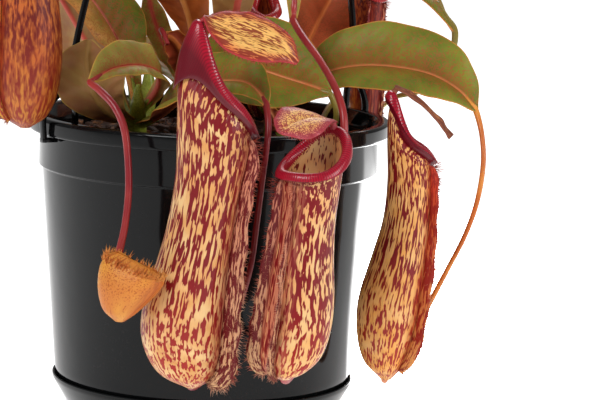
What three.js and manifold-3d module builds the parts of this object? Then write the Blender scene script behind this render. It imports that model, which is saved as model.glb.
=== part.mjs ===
// A potted pitcher plant: a round hanging pot with its drip saucer and its hanger, filled with
// soil, and a tropical pitcher plant whose leaves end in tendrils that carry hanging pitchers.
// Millimetres, +Z up. The origin is the middle of the saucer's flat underside, and the front is -Y.
import * as THREE from 'three';
import { mergeVertices } from 'three/addons/utils/BufferGeometryUtils.js';
import Module from 'manifold-3d';

const wasm = await Module();
wasm.setup();

// Driving dimensions
const POT = { rim: 75, rimInner: 70.6, height: 125, band: 6.7, collar: 70.4, ledge: 22.2, wall: 1.7 };
const BODY = { top: 68.9, low: 61.9, lowHeight: 18, floor: 55.5, floorHeight: 2.3, segments: 30 };
const SAUCER = { foot: 53, rim: 62.9, height: 15.8, wall: 1.5, floor: 2 };
const SOIL = { level: 115.5, lump: 1.1, clearance: 0.8, bottom: 4.6, segments: 20, rings: 4, seed: 7 };
const HANGER = { width: 3.4, thickness: 1.9, fork: 140, join: 352, hook: 11, leftAngle: 210, rightAngle: 30 };
const STEM = { radius: 4.5, bottom: 98, top: 128, sides: 8, petiole: 8 };
const GAP = 0.4;
const COLLAR_GAP = 1;
const LID_NECK = { gap: 0.5, root: 0.04, radius: 1.1 };
const CUP = { wall: 1.3, sides: 12, outerSteps: 10, innerSteps: 6, innerStart: 0.14 };
const SMALL_CUP = { wall: 1.3, sides: 9, outerSteps: 8, innerSteps: 5, innerStart: 0.2 };
const WING = { turn: 0.46, thickness: 0.8, sunk: 0.9, start: 0.1, end: 0.9, notch: 0.12, taper: 0.5 };
const STUB = 9;

const GREEN = [0x7d8a30, 0.45];
const OLIVE = [0x8a7a45, 0.5];
const RUSSET = [0xa8502c, 0.5];
const ORANGE = [0xd07a28, 0.5];
const SPOTTED = [0xd09a62, 0.45];
const GOLDEN = [0xc8803a, 0.45];
const CRIMSON = [0x9a1630, 0.3];
const BLACK = [0x232527, 0.28];
const EARTH = [0x3a2418, 0.95];

const degrees = (angle) => (angle * Math.PI) / 180;
const point = (row) => new THREE.Vector3(row[0], row[1], row[2]);

// Smooth value of every column of the rows at t, from 0 at the first row to 1 at the last.
function along(rows, t) {
  const last = rows.length - 1;
  const place = Math.min(Math.max(t, 0), 1) * last;
  const i = Math.min(Math.floor(place), last - 1);
  const f = place - i;
  return rows[i].map((b, column) => {
    const c = rows[i + 1][column];
    const a = i > 0 ? rows[i - 1][column] : 2 * b - c;
    const d = i + 2 <= last ? rows[i + 2][column] : 2 * c - b;
    return b + 0.5 * f * (c - a + f * (2 * a - 5 * b + 4 * c - d + f * (3 * (b - c) + d - a)));
  });
}

function heading(rows, t) {
  const step = 0.01;
  const ahead = point(along(rows, Math.min(t + step, 1)));
  return ahead.sub(point(along(rows, Math.max(t - step, 0)))).normalize();
}

// The t that lies a distance in millimetres from the first row, or from the last one.
function reach(rows, distance, fromEnd = false) {
  const step = 0.002;
  let travelled = 0;
  let t = fromEnd ? 1 : 0;
  while (travelled < distance) {
    const next = fromEnd ? t - step : t + step;
    travelled += point(along(rows, t)).distanceTo(point(along(rows, next)));
    t = next;
  }
  return t;
}

// A closed mesh through rings of points. A loop joins its last ring to its first one, and
// anything else is capped. Each ring's second half is split the other way, so that the two
// faces of a blade are made of the same triangles.
function closedSurface(rings, isLoop = false) {
  const n = rings[0].length;
  const corners = rings.flat();
  const faces = [];
  const stretches = isLoop ? rings.length : rings.length - 1;
  for (let i = 0; i < stretches; i += 1) {
    const here = i * n;
    const next = ((i + 1) % rings.length) * n;
    for (let k = 0; k < n; k += 1) {
      const k2 = (k + 1) % n;
      const quad = [here + k, here + k2, next + k2, next + k];
      const split = k < n / 2 ? [0, 1, 2, 0, 2, 3] : [0, 1, 3, 1, 2, 3];
      faces.push(...split.map((corner) => quad[corner]));
    }
  }
  if (!isLoop) {
    for (const ring of [0, rings.length - 1]) {
      const middle = rings[ring].reduce((sum, p) => sum.add(p), new THREE.Vector3());
      corners.push(middle.divideScalar(n));
      for (let k = 0; k < n; k += 1) {
        const edge = [ring * n + k, ring * n + ((k + 1) % n)];
        if (ring === 0) edge.reverse();
        faces.push(edge[0], edge[1], corners.length - 1);
      }
    }
  }
  return facingOut(corners, faces);
}

function facingOut(corners, faces) {
  let volume = 0;
  for (let i = 0; i < faces.length; i += 3) {
    const [a, b, c] = [0, 1, 2].map((k) => corners[faces[i + k]]);
    volume += a.dot(b.clone().cross(c));
  }
  const geometry = new THREE.BufferGeometry();
  const values = new Float32Array(corners.flatMap((p) => [p.x, p.y, p.z]));
  geometry.setAttribute('position', new THREE.BufferAttribute(values, 3));
  geometry.setIndex(volume < 0 ? faces.slice().reverse() : faces);
  return geometry;
}

function toSolid(geometry) {
  const bare = geometry.clone();
  bare.deleteAttribute('normal');
  bare.deleteAttribute('uv');
  const merged = mergeVertices(bare, 1e-4);
  const vertProperties = new Float32Array(merged.attributes.position.array);
  const triVerts = new Uint32Array(merged.index.array);
  return new wasm.Manifold(new wasm.Mesh({ numProp: 3, vertProperties, triVerts }));
}

function toGeometry(solid) {
  const mesh = solid.getMesh();
  const geometry = new THREE.BufferGeometry();
  geometry.setAttribute('position', new THREE.BufferAttribute(mesh.vertProperties, 3));
  geometry.setIndex(new THREE.BufferAttribute(mesh.triVerts, 1));
  return geometry;
}

function joined(geometries) {
  return toGeometry(geometries.map(toSolid).reduce((whole, piece) => whole.add(piece)));
}

function cutBy(geometry, tools) {
  return toGeometry(tools.map(toSolid).reduce((whole, tool) => whole.subtract(tool), toSolid(geometry)));
}

const plant = new THREE.Group();

function addMesh(name, geometry, [color, roughness]) {
  const flat = geometry.index ? geometry.toNonIndexed() : geometry;
  flat.deleteAttribute('normal');
  flat.computeVertexNormals();
  const mesh = new THREE.Mesh(flat, new THREE.MeshStandardMaterial({ color, roughness, metalness: 0 }));
  mesh.name = name;
  plant.add(mesh);
}

// A round stalk along rows of x, y, z and radius, from one t to another.
function stalk(rows, { from = 0, to = 1, steps = 12, sides = 6 } = {}) {
  const rings = [];
  let side = new THREE.Vector3(0.31, 0.94, 0.12);
  for (let i = 0; i <= steps; i += 1) {
    const t = from + ((to - from) * i) / steps;
    const row = along(rows, t);
    const ahead = heading(rows, t);
    side = side.clone().addScaledVector(ahead, -side.dot(ahead)).normalize();
    const up = ahead.clone().cross(side);
    rings.push(
      Array.from({ length: sides }, (_, k) => {
        const turn = (2 * Math.PI * k) / sides;
        const out = side.clone().multiplyScalar(Math.cos(turn)).addScaledVector(up, Math.sin(turn));
        return point(row).addScaledVector(out, row[3]);
      }),
    );
  }
  return closedSurface(rings);
}

// A thin leaf blade along rows of x, y, z, half width and the lift in degrees of its left and
// right halves. Each half is arched, and the rib along the middle is thicker than the blade.
function blade(rows, { azimuth, from = 0, steps = 8, arch = 12, rib = [3, 1.5], skin = [1, 0.8], sides = [1, 1] }) {
  const aim = degrees(azimuth);
  const toLeft = new THREE.Vector3(-Math.sin(aim), Math.cos(aim), 0);
  const rings = [];
  for (let i = 0; i <= steps; i += 1) {
    const t = from + ((1 - from) * i) / steps;
    const [, , , half, leftLift, rightLift] = along(rows, t);
    const middle = point(along(rows, t));
    const ahead = heading(rows, t);
    const side = toLeft.clone().addScaledVector(ahead, -toLeft.dot(ahead)).normalize();
    const up = ahead.clone().cross(side);
    const ribDepth = rib[0] + (rib[1] - rib[0]) * t;
    const wings = [[1, leftLift, sides[0]], [-1, rightLift, sides[1]]].map(([sign, lift, share]) => {
      const direction = (angle) => side.clone().multiplyScalar(sign * Math.cos(degrees(angle)))
        .addScaledVector(up, Math.sin(degrees(angle)));
      const step = (half * share) / 2;
      const inner = middle.clone().addScaledVector(direction(lift + arch), step);
      const edge = inner.clone().addScaledVector(direction(lift - arch), step);
      const face = direction(lift + 90);
      return { inner, edge, face };
    });
    const crest = wings[0].face.clone().add(wings[1].face).normalize();
    const layers = [
      [wings[0].edge, wings[0].face, skin[1]],
      [wings[0].inner, wings[0].face, skin[0]],
      [middle, crest, ribDepth],
      [wings[1].inner, wings[1].face, skin[0]],
      [wings[1].edge, wings[1].face, skin[1]],
    ];
    const top = layers.map(([p, n, depth]) => p.clone().addScaledVector(n, depth / 2));
    const bottom = layers.map(([p, n, depth]) => p.clone().addScaledVector(n, -depth / 2));
    rings.push([...top, ...bottom.reverse()]);
  }
  return closedSurface(rings);
}

// The pot: a rim band, a collar with a ledge under it, and a tapered wall down to its floor.
function potProfile() {
  const bandFoot = POT.height - POT.band;
  const ledge = POT.height - POT.ledge;
  const bevel = 0.8;
  return [
    [0, BODY.floorHeight],
    [BODY.floor, BODY.floorHeight],
    [BODY.low - 1.2, SAUCER.height - 1.5],
    [BODY.low, BODY.lowHeight],
    [BODY.top, ledge],
    [POT.collar, ledge + bevel],
    [POT.collar, bandFoot],
    [POT.rim - bevel, bandFoot],
    [POT.rim, bandFoot + bevel],
    [POT.rim, POT.height - bevel],
    [POT.rim - bevel, POT.height],
    [POT.rimInner, POT.height],
    [POT.collar - POT.wall, bandFoot],
    [BODY.top - POT.wall, ledge],
    [BODY.low - POT.wall, BODY.lowHeight],
    [BODY.floor - POT.wall, BODY.floorHeight + POT.wall],
    [0, BODY.floorHeight + POT.wall],
  ];
}

function turned(profile, segments) {
  const outline = profile.map(([r, z]) => new THREE.Vector2(r, z));
  return new THREE.LatheGeometry(outline, segments).rotateX(Math.PI / 2);
}

// The drip saucer holds the foot of the pot and stands a little proud of it.
function saucerProfile() {
  const slope = SAUCER.wall;
  return [
    [0, 0],
    [SAUCER.foot, 0],
    [SAUCER.foot + 2, 1],
    [SAUCER.rim, SAUCER.height - 1.6],
    [SAUCER.rim, SAUCER.height],
    [SAUCER.rim - 0.7, SAUCER.height],
    [BODY.low - 0.6, SAUCER.height - 1.6],
    [BODY.floor + 0.6, SAUCER.floor],
    [BODY.floor - slope, SAUCER.floor],
    [0, SAUCER.floor],
  ];
}

// The soil fills the pot to its level, with a lumpy surface, and each stem stands in a hole in it.
function soilSolid(stems) {
  const innerRadius = (z) => {
    const share = (z - BODY.lowHeight) / (POT.height - POT.ledge - BODY.lowHeight);
    return BODY.low + (BODY.top - BODY.low) * share - POT.wall - SOIL.clearance;
  };
  const edge = innerRadius(POT.height - POT.ledge);
  const outline = [[BODY.floor - POT.wall - 0.5, SOIL.bottom], [innerRadius(BODY.lowHeight), BODY.lowHeight]];
  outline.push([edge, POT.height - POT.ledge], [edge + 0.5, SOIL.level]);
  const rings = outline.map(([r, z]) => soilRing(() => [r, z]));
  for (let k = SOIL.rings; k > 0; k -= 1) {
    rings.push(soilRing((turn, j) => [(edge * k) / (SOIL.rings + 0.6), SOIL.level + lump(k, j)]));
  }
  const holes = stems.map(([x, y]) => {
    const length = STEM.top - STEM.bottom;
    const hole = new THREE.CylinderGeometry(STEM.radius + 0.5, STEM.radius + 0.5, length, STEM.sides);
    return hole.rotateX(Math.PI / 2).translate(x, y, STEM.bottom - 0.5 + length / 2);
  });
  return cutBy(closedSurface(rings), holes);
}

function soilRing(radiusAndHeight) {
  return Array.from({ length: SOIL.segments }, (_, j) => {
    const turn = (2 * Math.PI * j) / SOIL.segments;
    const [r, z] = radiusAndHeight(turn, j);
    return new THREE.Vector3(r * Math.cos(turn), r * Math.sin(turn), z);
  });
}

function lump(k, j) {
  const wave = Math.sin(k * 12.9 + j * 78.2 + SOIL.seed) * 43758.5;
  return SOIL.lump * (2 * (wave - Math.floor(wave)) - 1);
}

// One strip of the hanger: a flat bar along x, z points in its own plane, turned to its angle.
function strip(points, angle, width = HANGER.width, steps = 4) {
  const path = new THREE.CatmullRomCurve3(points.map(([x, z]) => new THREE.Vector3(x, 0, z)));
  const [w, t] = [width / 2, HANGER.thickness / 2];
  const corners = [[-w, -t], [w, -t], [w, t], [-w, t]].map(([x, y]) => new THREE.Vector2(x, y));
  const bar = new THREE.ExtrudeGeometry(new THREE.Shape(corners), { extrudePath: path, steps });
  return bar.rotateZ(degrees(angle));
}

// An arm rises from its clip on the rim and bends in to the hook. Its clip has one leg outside
// the rim that hooks under the band, and one leg inside it.
function hangerArm(foot, angle, bend) {
  const spread = (share) => 2.5 + (foot - 2.5) * (1 - share ** bend);
  const arm = [0, 0.12, 0.3, 0.5, 0.7, 0.87, 1].map((share) => [
    spread(share),
    HANGER.fork + (HANGER.join - HANGER.fork) * share,
  ]);
  const outside = POT.rim + 0.7 + HANGER.thickness / 2;
  const bandFoot = POT.height - POT.band;
  const outerLeg = [[foot, HANGER.fork + 2], [foot + 3, HANGER.fork - 3], [outside, POT.height + 3]];
  outerLeg.push([outside, bandFoot - 2.2]);
  const innerLeg = [[foot, HANGER.fork + 2], [foot - 2.5, HANGER.fork - 5], [foot - 3.5, POT.height - 5]];
  const tabHeight = bandFoot - GAP - HANGER.thickness / 2;
  const tab = [[outside + HANGER.thickness / 2, tabHeight - 0.05], [POT.collar + 2 * GAP, tabHeight]];
  return [
    strip(arm, angle, HANGER.width, 10),
    strip(outerLeg, angle, HANGER.width, 5),
    strip(innerLeg, angle, HANGER.width, 3),
    strip(tab, angle, HANGER.width, 1),
  ];
}

function hanger() {
  const hook = Array.from({ length: 10 }, (_, k) => {
    const turn = degrees(-70 + 28 * k);
    return [HANGER.hook * Math.cos(turn), HANGER.join + 24 + HANGER.hook * Math.sin(turn)];
  });
  const neck = [[0, HANGER.join - 3], [0.5, HANGER.join + 6], hook[0]];
  return joined([
    ...hangerArm(66, HANGER.leftAngle, 1.2),
    ...hangerArm(70, HANGER.rightAngle, 1.8),
    strip([[-6, HANGER.join - 1], [6, HANGER.join - 0.9]], 0, 5, 1),
    strip([...neck, ...hook.slice(1)], 0, HANGER.width, 14),
  ]);
}

// A point on a pitcher's outer wall: s runs from its tip to its mouth, and turn goes round it
// from the front, where the wings are. Rows give the back and the front of its outline as
// u and z, and half its breadth; the sides of the mouth sag below the line between them.
function wallPoint(pitcher, s, turn) {
  const [backU, backZ, frontU, frontZ, breadth] = along(pitcher.rows, s);
  const [c, q] = [Math.cos(turn), Math.sin(turn)];
  const rise = Math.max(s, 0) ** 4;
  const size = pitcher.size ?? 1;
  const girth = size * (pitcher.slim ?? 1);
  const u = girth * ((backU + frontU) / 2 + ((frontU - backU) / 2) * c);
  const v = girth * breadth * q * (1 + pitcher.pinch * rise * c);
  const sag = pitcher.sag * rise * q * q * (1 - pitcher.neck * c);
  const w = size * ((backZ + frontZ) / 2 + ((frontZ - backZ) / 2) * c - sag);
  return placed(pitcher, u, v, w);
}

function placed(pitcher, u, v, w) {
  const aim = degrees(pitcher.azimuth);
  const [x, y, z] = pitcher.at;
  return new THREE.Vector3(
    x + u * Math.cos(aim) - v * Math.sin(aim),
    y + u * Math.sin(aim) + v * Math.cos(aim),
    z + w,
  );
}

// The wall's directions at a point: round it, out of it, and along it towards the mouth.
function wallFrame(pitcher, s, turn) {
  const step = 0.004;
  const round = wallPoint(pitcher, s, turn + step).sub(wallPoint(pitcher, s, turn - step)).normalize();
  const up = wallPoint(pitcher, Math.min(s + step, 1), turn)
    .sub(wallPoint(pitcher, Math.max(s - step, 0), turn));
  const out = round.clone().cross(up).normalize();
  return { round, out, on: out.clone().cross(round) };
}

function ringOf(pitcher, s, inset, sides = CUP.sides) {
  return Array.from({ length: sides }, (_, k) => {
    const turn = (2 * Math.PI * (k + 0.5)) / sides;
    const { out } = wallFrame(pitcher, s, turn);
    return wallPoint(pitcher, s, turn).addScaledVector(out, -inset);
  });
}

// The hollow body of a pitcher: its outer wall up to the mouth, and its inner wall back down.
function cupShell(pitcher) {
  const { wall, sides, outerSteps, innerSteps, innerStart } = pitcher.detail ?? CUP;
  const rings = [];
  for (let i = 0; i <= outerSteps; i += 1) {
    rings.push(ringOf(pitcher, (i / outerSteps) ** 1.15, 0, sides));
  }
  for (let i = 0; i <= innerSteps; i += 1) {
    rings.push(ringOf(pitcher, 1 - ((1 - innerStart) * i) / innerSteps, wall, sides));
  }
  return closedSurface(rings);
}

// A wing is a thin fin with a wavy edge up the front of the wall, broader towards the pitcher's tip.
function wing(pitcher, side) {
  const stations = 2 * pitcher.waves + 1;
  const turn = side * WING.turn + (pitcher.wingsAt ?? 0);
  const rings = Array.from({ length: stations }, (_, i) => {
    const share = i / (stations - 1);
    const s = WING.start + (WING.end - WING.start) * share;
    const { round, out } = wallFrame(pitcher, s, turn);
    const lean = out.clone().addScaledVector(round, side * 0.25).normalize();
    const fade = Math.min(1, 0.35 + 5 * share, 0.35 + 5 * (1 - share));
    const tall = pitcher.wing * (1 - WING.taper * share) * fade * (i % 2 ? 1 : 1 - WING.notch);
    const root = wallPoint(pitcher, s, turn).addScaledVector(out, -WING.sunk);
    const tip = root.clone().addScaledVector(lean, tall + WING.sunk);
    const half = WING.thickness / 2;
    return [
      root.clone().addScaledVector(round, -half),
      root.clone().addScaledVector(round, half),
      tip.clone().addScaledVector(round, half),
      tip.clone().addScaledVector(round, -half),
    ];
  });
  return closedSurface(rings);
}

// One section of the collar round the mouth, at a station that counts round it from the front.
function collarSection(pitcher, station) {
  const { sides } = pitcher.detail ?? CUP;
  const turn = (Math.PI * station) / sides;
  const reachSide = station % 2 ? 0 : Math.PI / sides;
  const onWall = (s) => wallPoint(pitcher, s, turn - reachSide)
    .lerp(wallPoint(pitcher, s, turn + reachSide), 0.5);
  const low = 1 - pitcher.hang - (pitcher.roll ?? 0) * ((1 - Math.cos(turn)) / 2) ** 8;
  const between = (1 + low) / 2;
  const rim = wallFrame(pitcher, 1, turn);
  const edge = wallFrame(pitcher, low, turn);
  const middle = wallFrame(pitcher, between, turn);
  const tall = pitcher.collar * (station % 2 ? 1.1 : 1);
  const over = (a, b) => onWall(1).addScaledVector(rim.out, a).addScaledVector(rim.on, b);
  const hung = (a) => onWall(low).addScaledVector(edge.out, a);
  const bent = (a) => (pitcher.roll ? [onWall(between).addScaledVector(middle.out, a)] : []);
  return [
    over(-1, COLLAR_GAP), over(0, tall), over(2.3, 0.75 * tall), over(3.1, -0.2), ...bent(2.8),
    hung(2.6), hung(1.5), ...bent(1.5), over(1.5, COLLAR_GAP),
  ];
}

// The ribbed collar round the mouth: it starts inside the rim, rolls over it and hangs outside
// the wall, a hair's breadth clear of it, deepest at the back, where the lid is hinged.
function peristome(pitcher) {
  const { sides } = pitcher.detail ?? CUP;
  return closedSurface(Array.from({ length: 2 * sides }, (_, k) => collarSection(pitcher, k)), true);
}

function hingeOf(pitcher) {
  const { on } = wallFrame(pitcher, 1, Math.PI);
  return wallPoint(pitcher, 1, Math.PI).addScaledVector(on, 1.1 * pitcher.collar + 1.4);
}

// A lid over the mouth, on a short neck that comes down to the crest of the collar at the back.
function lid(pitcher) {
  const hinge = hingeOf(pitcher);
  const base = { at: [hinge.x, hinge.y, hinge.z], azimuth: pitcher.azimuth };
  const rows = pitcher.lid.map(([u, v, w, half, left, right]) => {
    const p = placed(base, u, v, w);
    return [p.x, p.y, p.z, half, left, right];
  });
  const leaf = blade(rows, { azimuth: pitcher.azimuth, steps: 5, arch: 14, rib: [1.8, 1.2], skin: [1, 0.8] });
  const { on } = wallFrame(pitcher, 1, Math.PI);
  const [, crest] = collarSection(pitcher, (pitcher.detail ?? CUP).sides);
  const foot = crest.addScaledVector(on, LID_NECK.gap);
  const head = point(along(rows, LID_NECK.root));
  const neck = [foot, head].map((p) => [p.x, p.y, p.z, LID_NECK.radius]);
  return joined([leaf, stalk(neck, { steps: 1, sides: 5 })]);
}

// The shape that most pitchers share, for one 100 mm tall: back u and z, front u and z, breadth.
const COMMON = [
  [-2, 0, 2, 0, 2],
  [-9, 5, 8, 4, 8],
  [-13, 15, 11.5, 13, 11.5],
  [-14, 30, 12, 28, 12.5],
  [-12, 48, 11.5, 45, 11.5],
  [-10.5, 65, 12, 59, 10.5],
  [-11, 80, 13, 70, 10],
  [-10, 91, 13.5, 75, 9.5],
  [-6, 100, 14, 77, 8],
];

const commonLid = (size) => [
  [0, 0, 0, 1.3, 0, 0],
  [5 * size, 0, 3 * size, 6 * size, -5, -5],
  [15 * size, 0, 3 * size, 10 * size, -12, -12],
  [26 * size, 0, 0, 7 * size, -15, -15],
  [33 * size, 0, -4 * size, 1.2, -15, -15],
];

const common = (size, more) => ({
  rows: COMMON, size, pinch: 0.15, sag: 6, neck: 1, waves: 5, wing: 3.4, collar: 2.4, hang: 0.05,
  lid: commonLid(size), detail: SMALL_CUP, ...more,
});

const PITCHERS = {
  front_left: {
    at: [0, -90, 0], azimuth: 4, pinch: 0.35, sag: 6, neck: 1.5, waves: 8, wing: 11, collar: 3.2, hang: 0.03,
    roll: 0.11,
    color: SPOTTED,
    rows: [
      [-6, 28.2, -2, 28.2, 2],
      [-17, 34, 3, 31.5, 10],
      [-23, 44, 7, 38, 14],
      [-24.3, 56, 8.5, 50, 15.5],
      [-20.5, 72, 9.3, 68, 15],
      [-15.5, 91, 11, 87, 13.5],
      [-12.5, 112, 13.5, 105, 12],
      [-12.5, 132, 16, 117, 11.5],
      [-12, 151.5, 17, 124, 10.5], [-5.5, 168.5, 16.5, 126.5, 7.5],
    ],
    lid: [
      [0, 0, 0, 1.4, 20, -20], [3.5, 0, -2.4, 5.5, 45, -40], [9.6, 0, -4.6, 8.6, 58, -58],
      [16, 0, -6.6, 10, 60, -60], [23, 0, -8.5, 9.8, 60, -60], [31, 0, -11.8, 7, 58, -55],
      [37, 0, -17, 1.2, 50, -50],
    ],
  },
  front_right: {
    at: [38, -96, 0], azimuth: 230, pinch: 0, sag: 4, neck: 0, waves: 8, wing: 6, wingsAt: -0.4, collar: 2.6, hang: 0.04,
    color: SPOTTED,
    rows: [
      [8, 35.3, 12, 35.3, 2],
      [0.7, 39.5, 16.2, 37.5, 8],
      [-6, 45.5, 18, 42.5, 12],
      [-10.2, 56, 16.8, 52, 13.5],
      [-11.6, 68, 14.8, 64, 13.2],
      [-11.2, 82, 12.8, 78, 12],
      [-12, 97, 10, 93, 11],
      [-14, 111, 8.3, 104, 11.3],
      [-15.5, 122, 8, 110.5, 11.6],
      [-16, 129, 8, 113, 11.6],
    ],
    lid: [
      [0, 0, 0, 1.4, 0, 0],
      [6, 0, 1.5, 4, -10, 10],
      [14, 0, 2.5, 7.5, -35, 25],
      [22, 0, 2, 9, -45, 30],
      [29, 0, 0.5, 7, -45, 25],
      [34, 0, -1.5, 1.6, -40, 20],
    ],
  },
  right: {
    at: [0, -40, 0], azimuth: 0, pinch: 0.35, sag: 6, neck: 1.2, waves: 8, wing: 6.5, collar: 2.4, hang: 0.05,
    color: GOLDEN,
    rows: [
      [73, 23.2, 77, 23.2, 2],
      [65.5, 31, 81, 28, 8],
      [62.3, 43, 85.5, 39, 11.5],
      [62.6, 57, 88, 52, 12.5],
      [67.2, 74, 89.6, 68, 11.5],
      [71.2, 89, 90.6, 84, 10.5],
      [72.5, 105, 91, 98, 9.5],
      [71.8, 121, 90.7, 107, 9],
      [71.8, 132, 90.3, 110.5, 8],
      [73.2, 139, 90, 111.5, 6],
    ],
    lid: [
      [0, 0, 0, 1.4, 40, -30], [4, 0, -1.5, 1.6, 40, -35], [11, 0, -6, 1.6, 40, -35],
      [18, 0, -12.5, 1.5, 40, -35], [21.5, 0, -17, 1.8, 40, -35], [23.5, 0, -19.5, 2.2, 40, -35],
    ],
  },
  left: common(1.1, { at: [-73, -56, 124], azimuth: 184, slim: 0.92, waves: 7, wing: 4, collar: 2.8, color: RUSSET }),
  inner_right: common(0.77, { at: [67.5, 50, 112.5], azimuth: -70, slim: 0.82, waves: 4, wing: 2.4, color: RUSSET }),
  inner_back: common(0.56, {
    at: [22, 43, 119], azimuth: -88, waves: 4, wing: 2.4, lid: commonLid(0.4), color: RUSSET,
  }),
  back_right: common(0.8, { at: [52, 76, 32], azimuth: 35, color: GOLDEN }),
};

const STEMS = { left: [-30, -12], right: [27, 4], back: [-2, 34] };

// The rolled young leaves at the heart of a stem, as x, y, z and radius.
const BUDS = {
  left: [[[-30, -12, 119, 4], [-29.5, -17.5, 127, 3.4], [-29.5, -21.5, 132, 2.6], [-29.5, -22, 139, 0.8]],
    [[-30, -12, 119, 3.4], [-26.5, -10, 128, 3.8], [-25.5, -9.8, 137, 3], [-26, -10.5, 146, 0.9]]],
  right: [[[27, 4, 122, 3], [25, 10, 132, 2.6], [25, 13, 141, 1.8], [26, 14, 149, 0.6]]],
};

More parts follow.
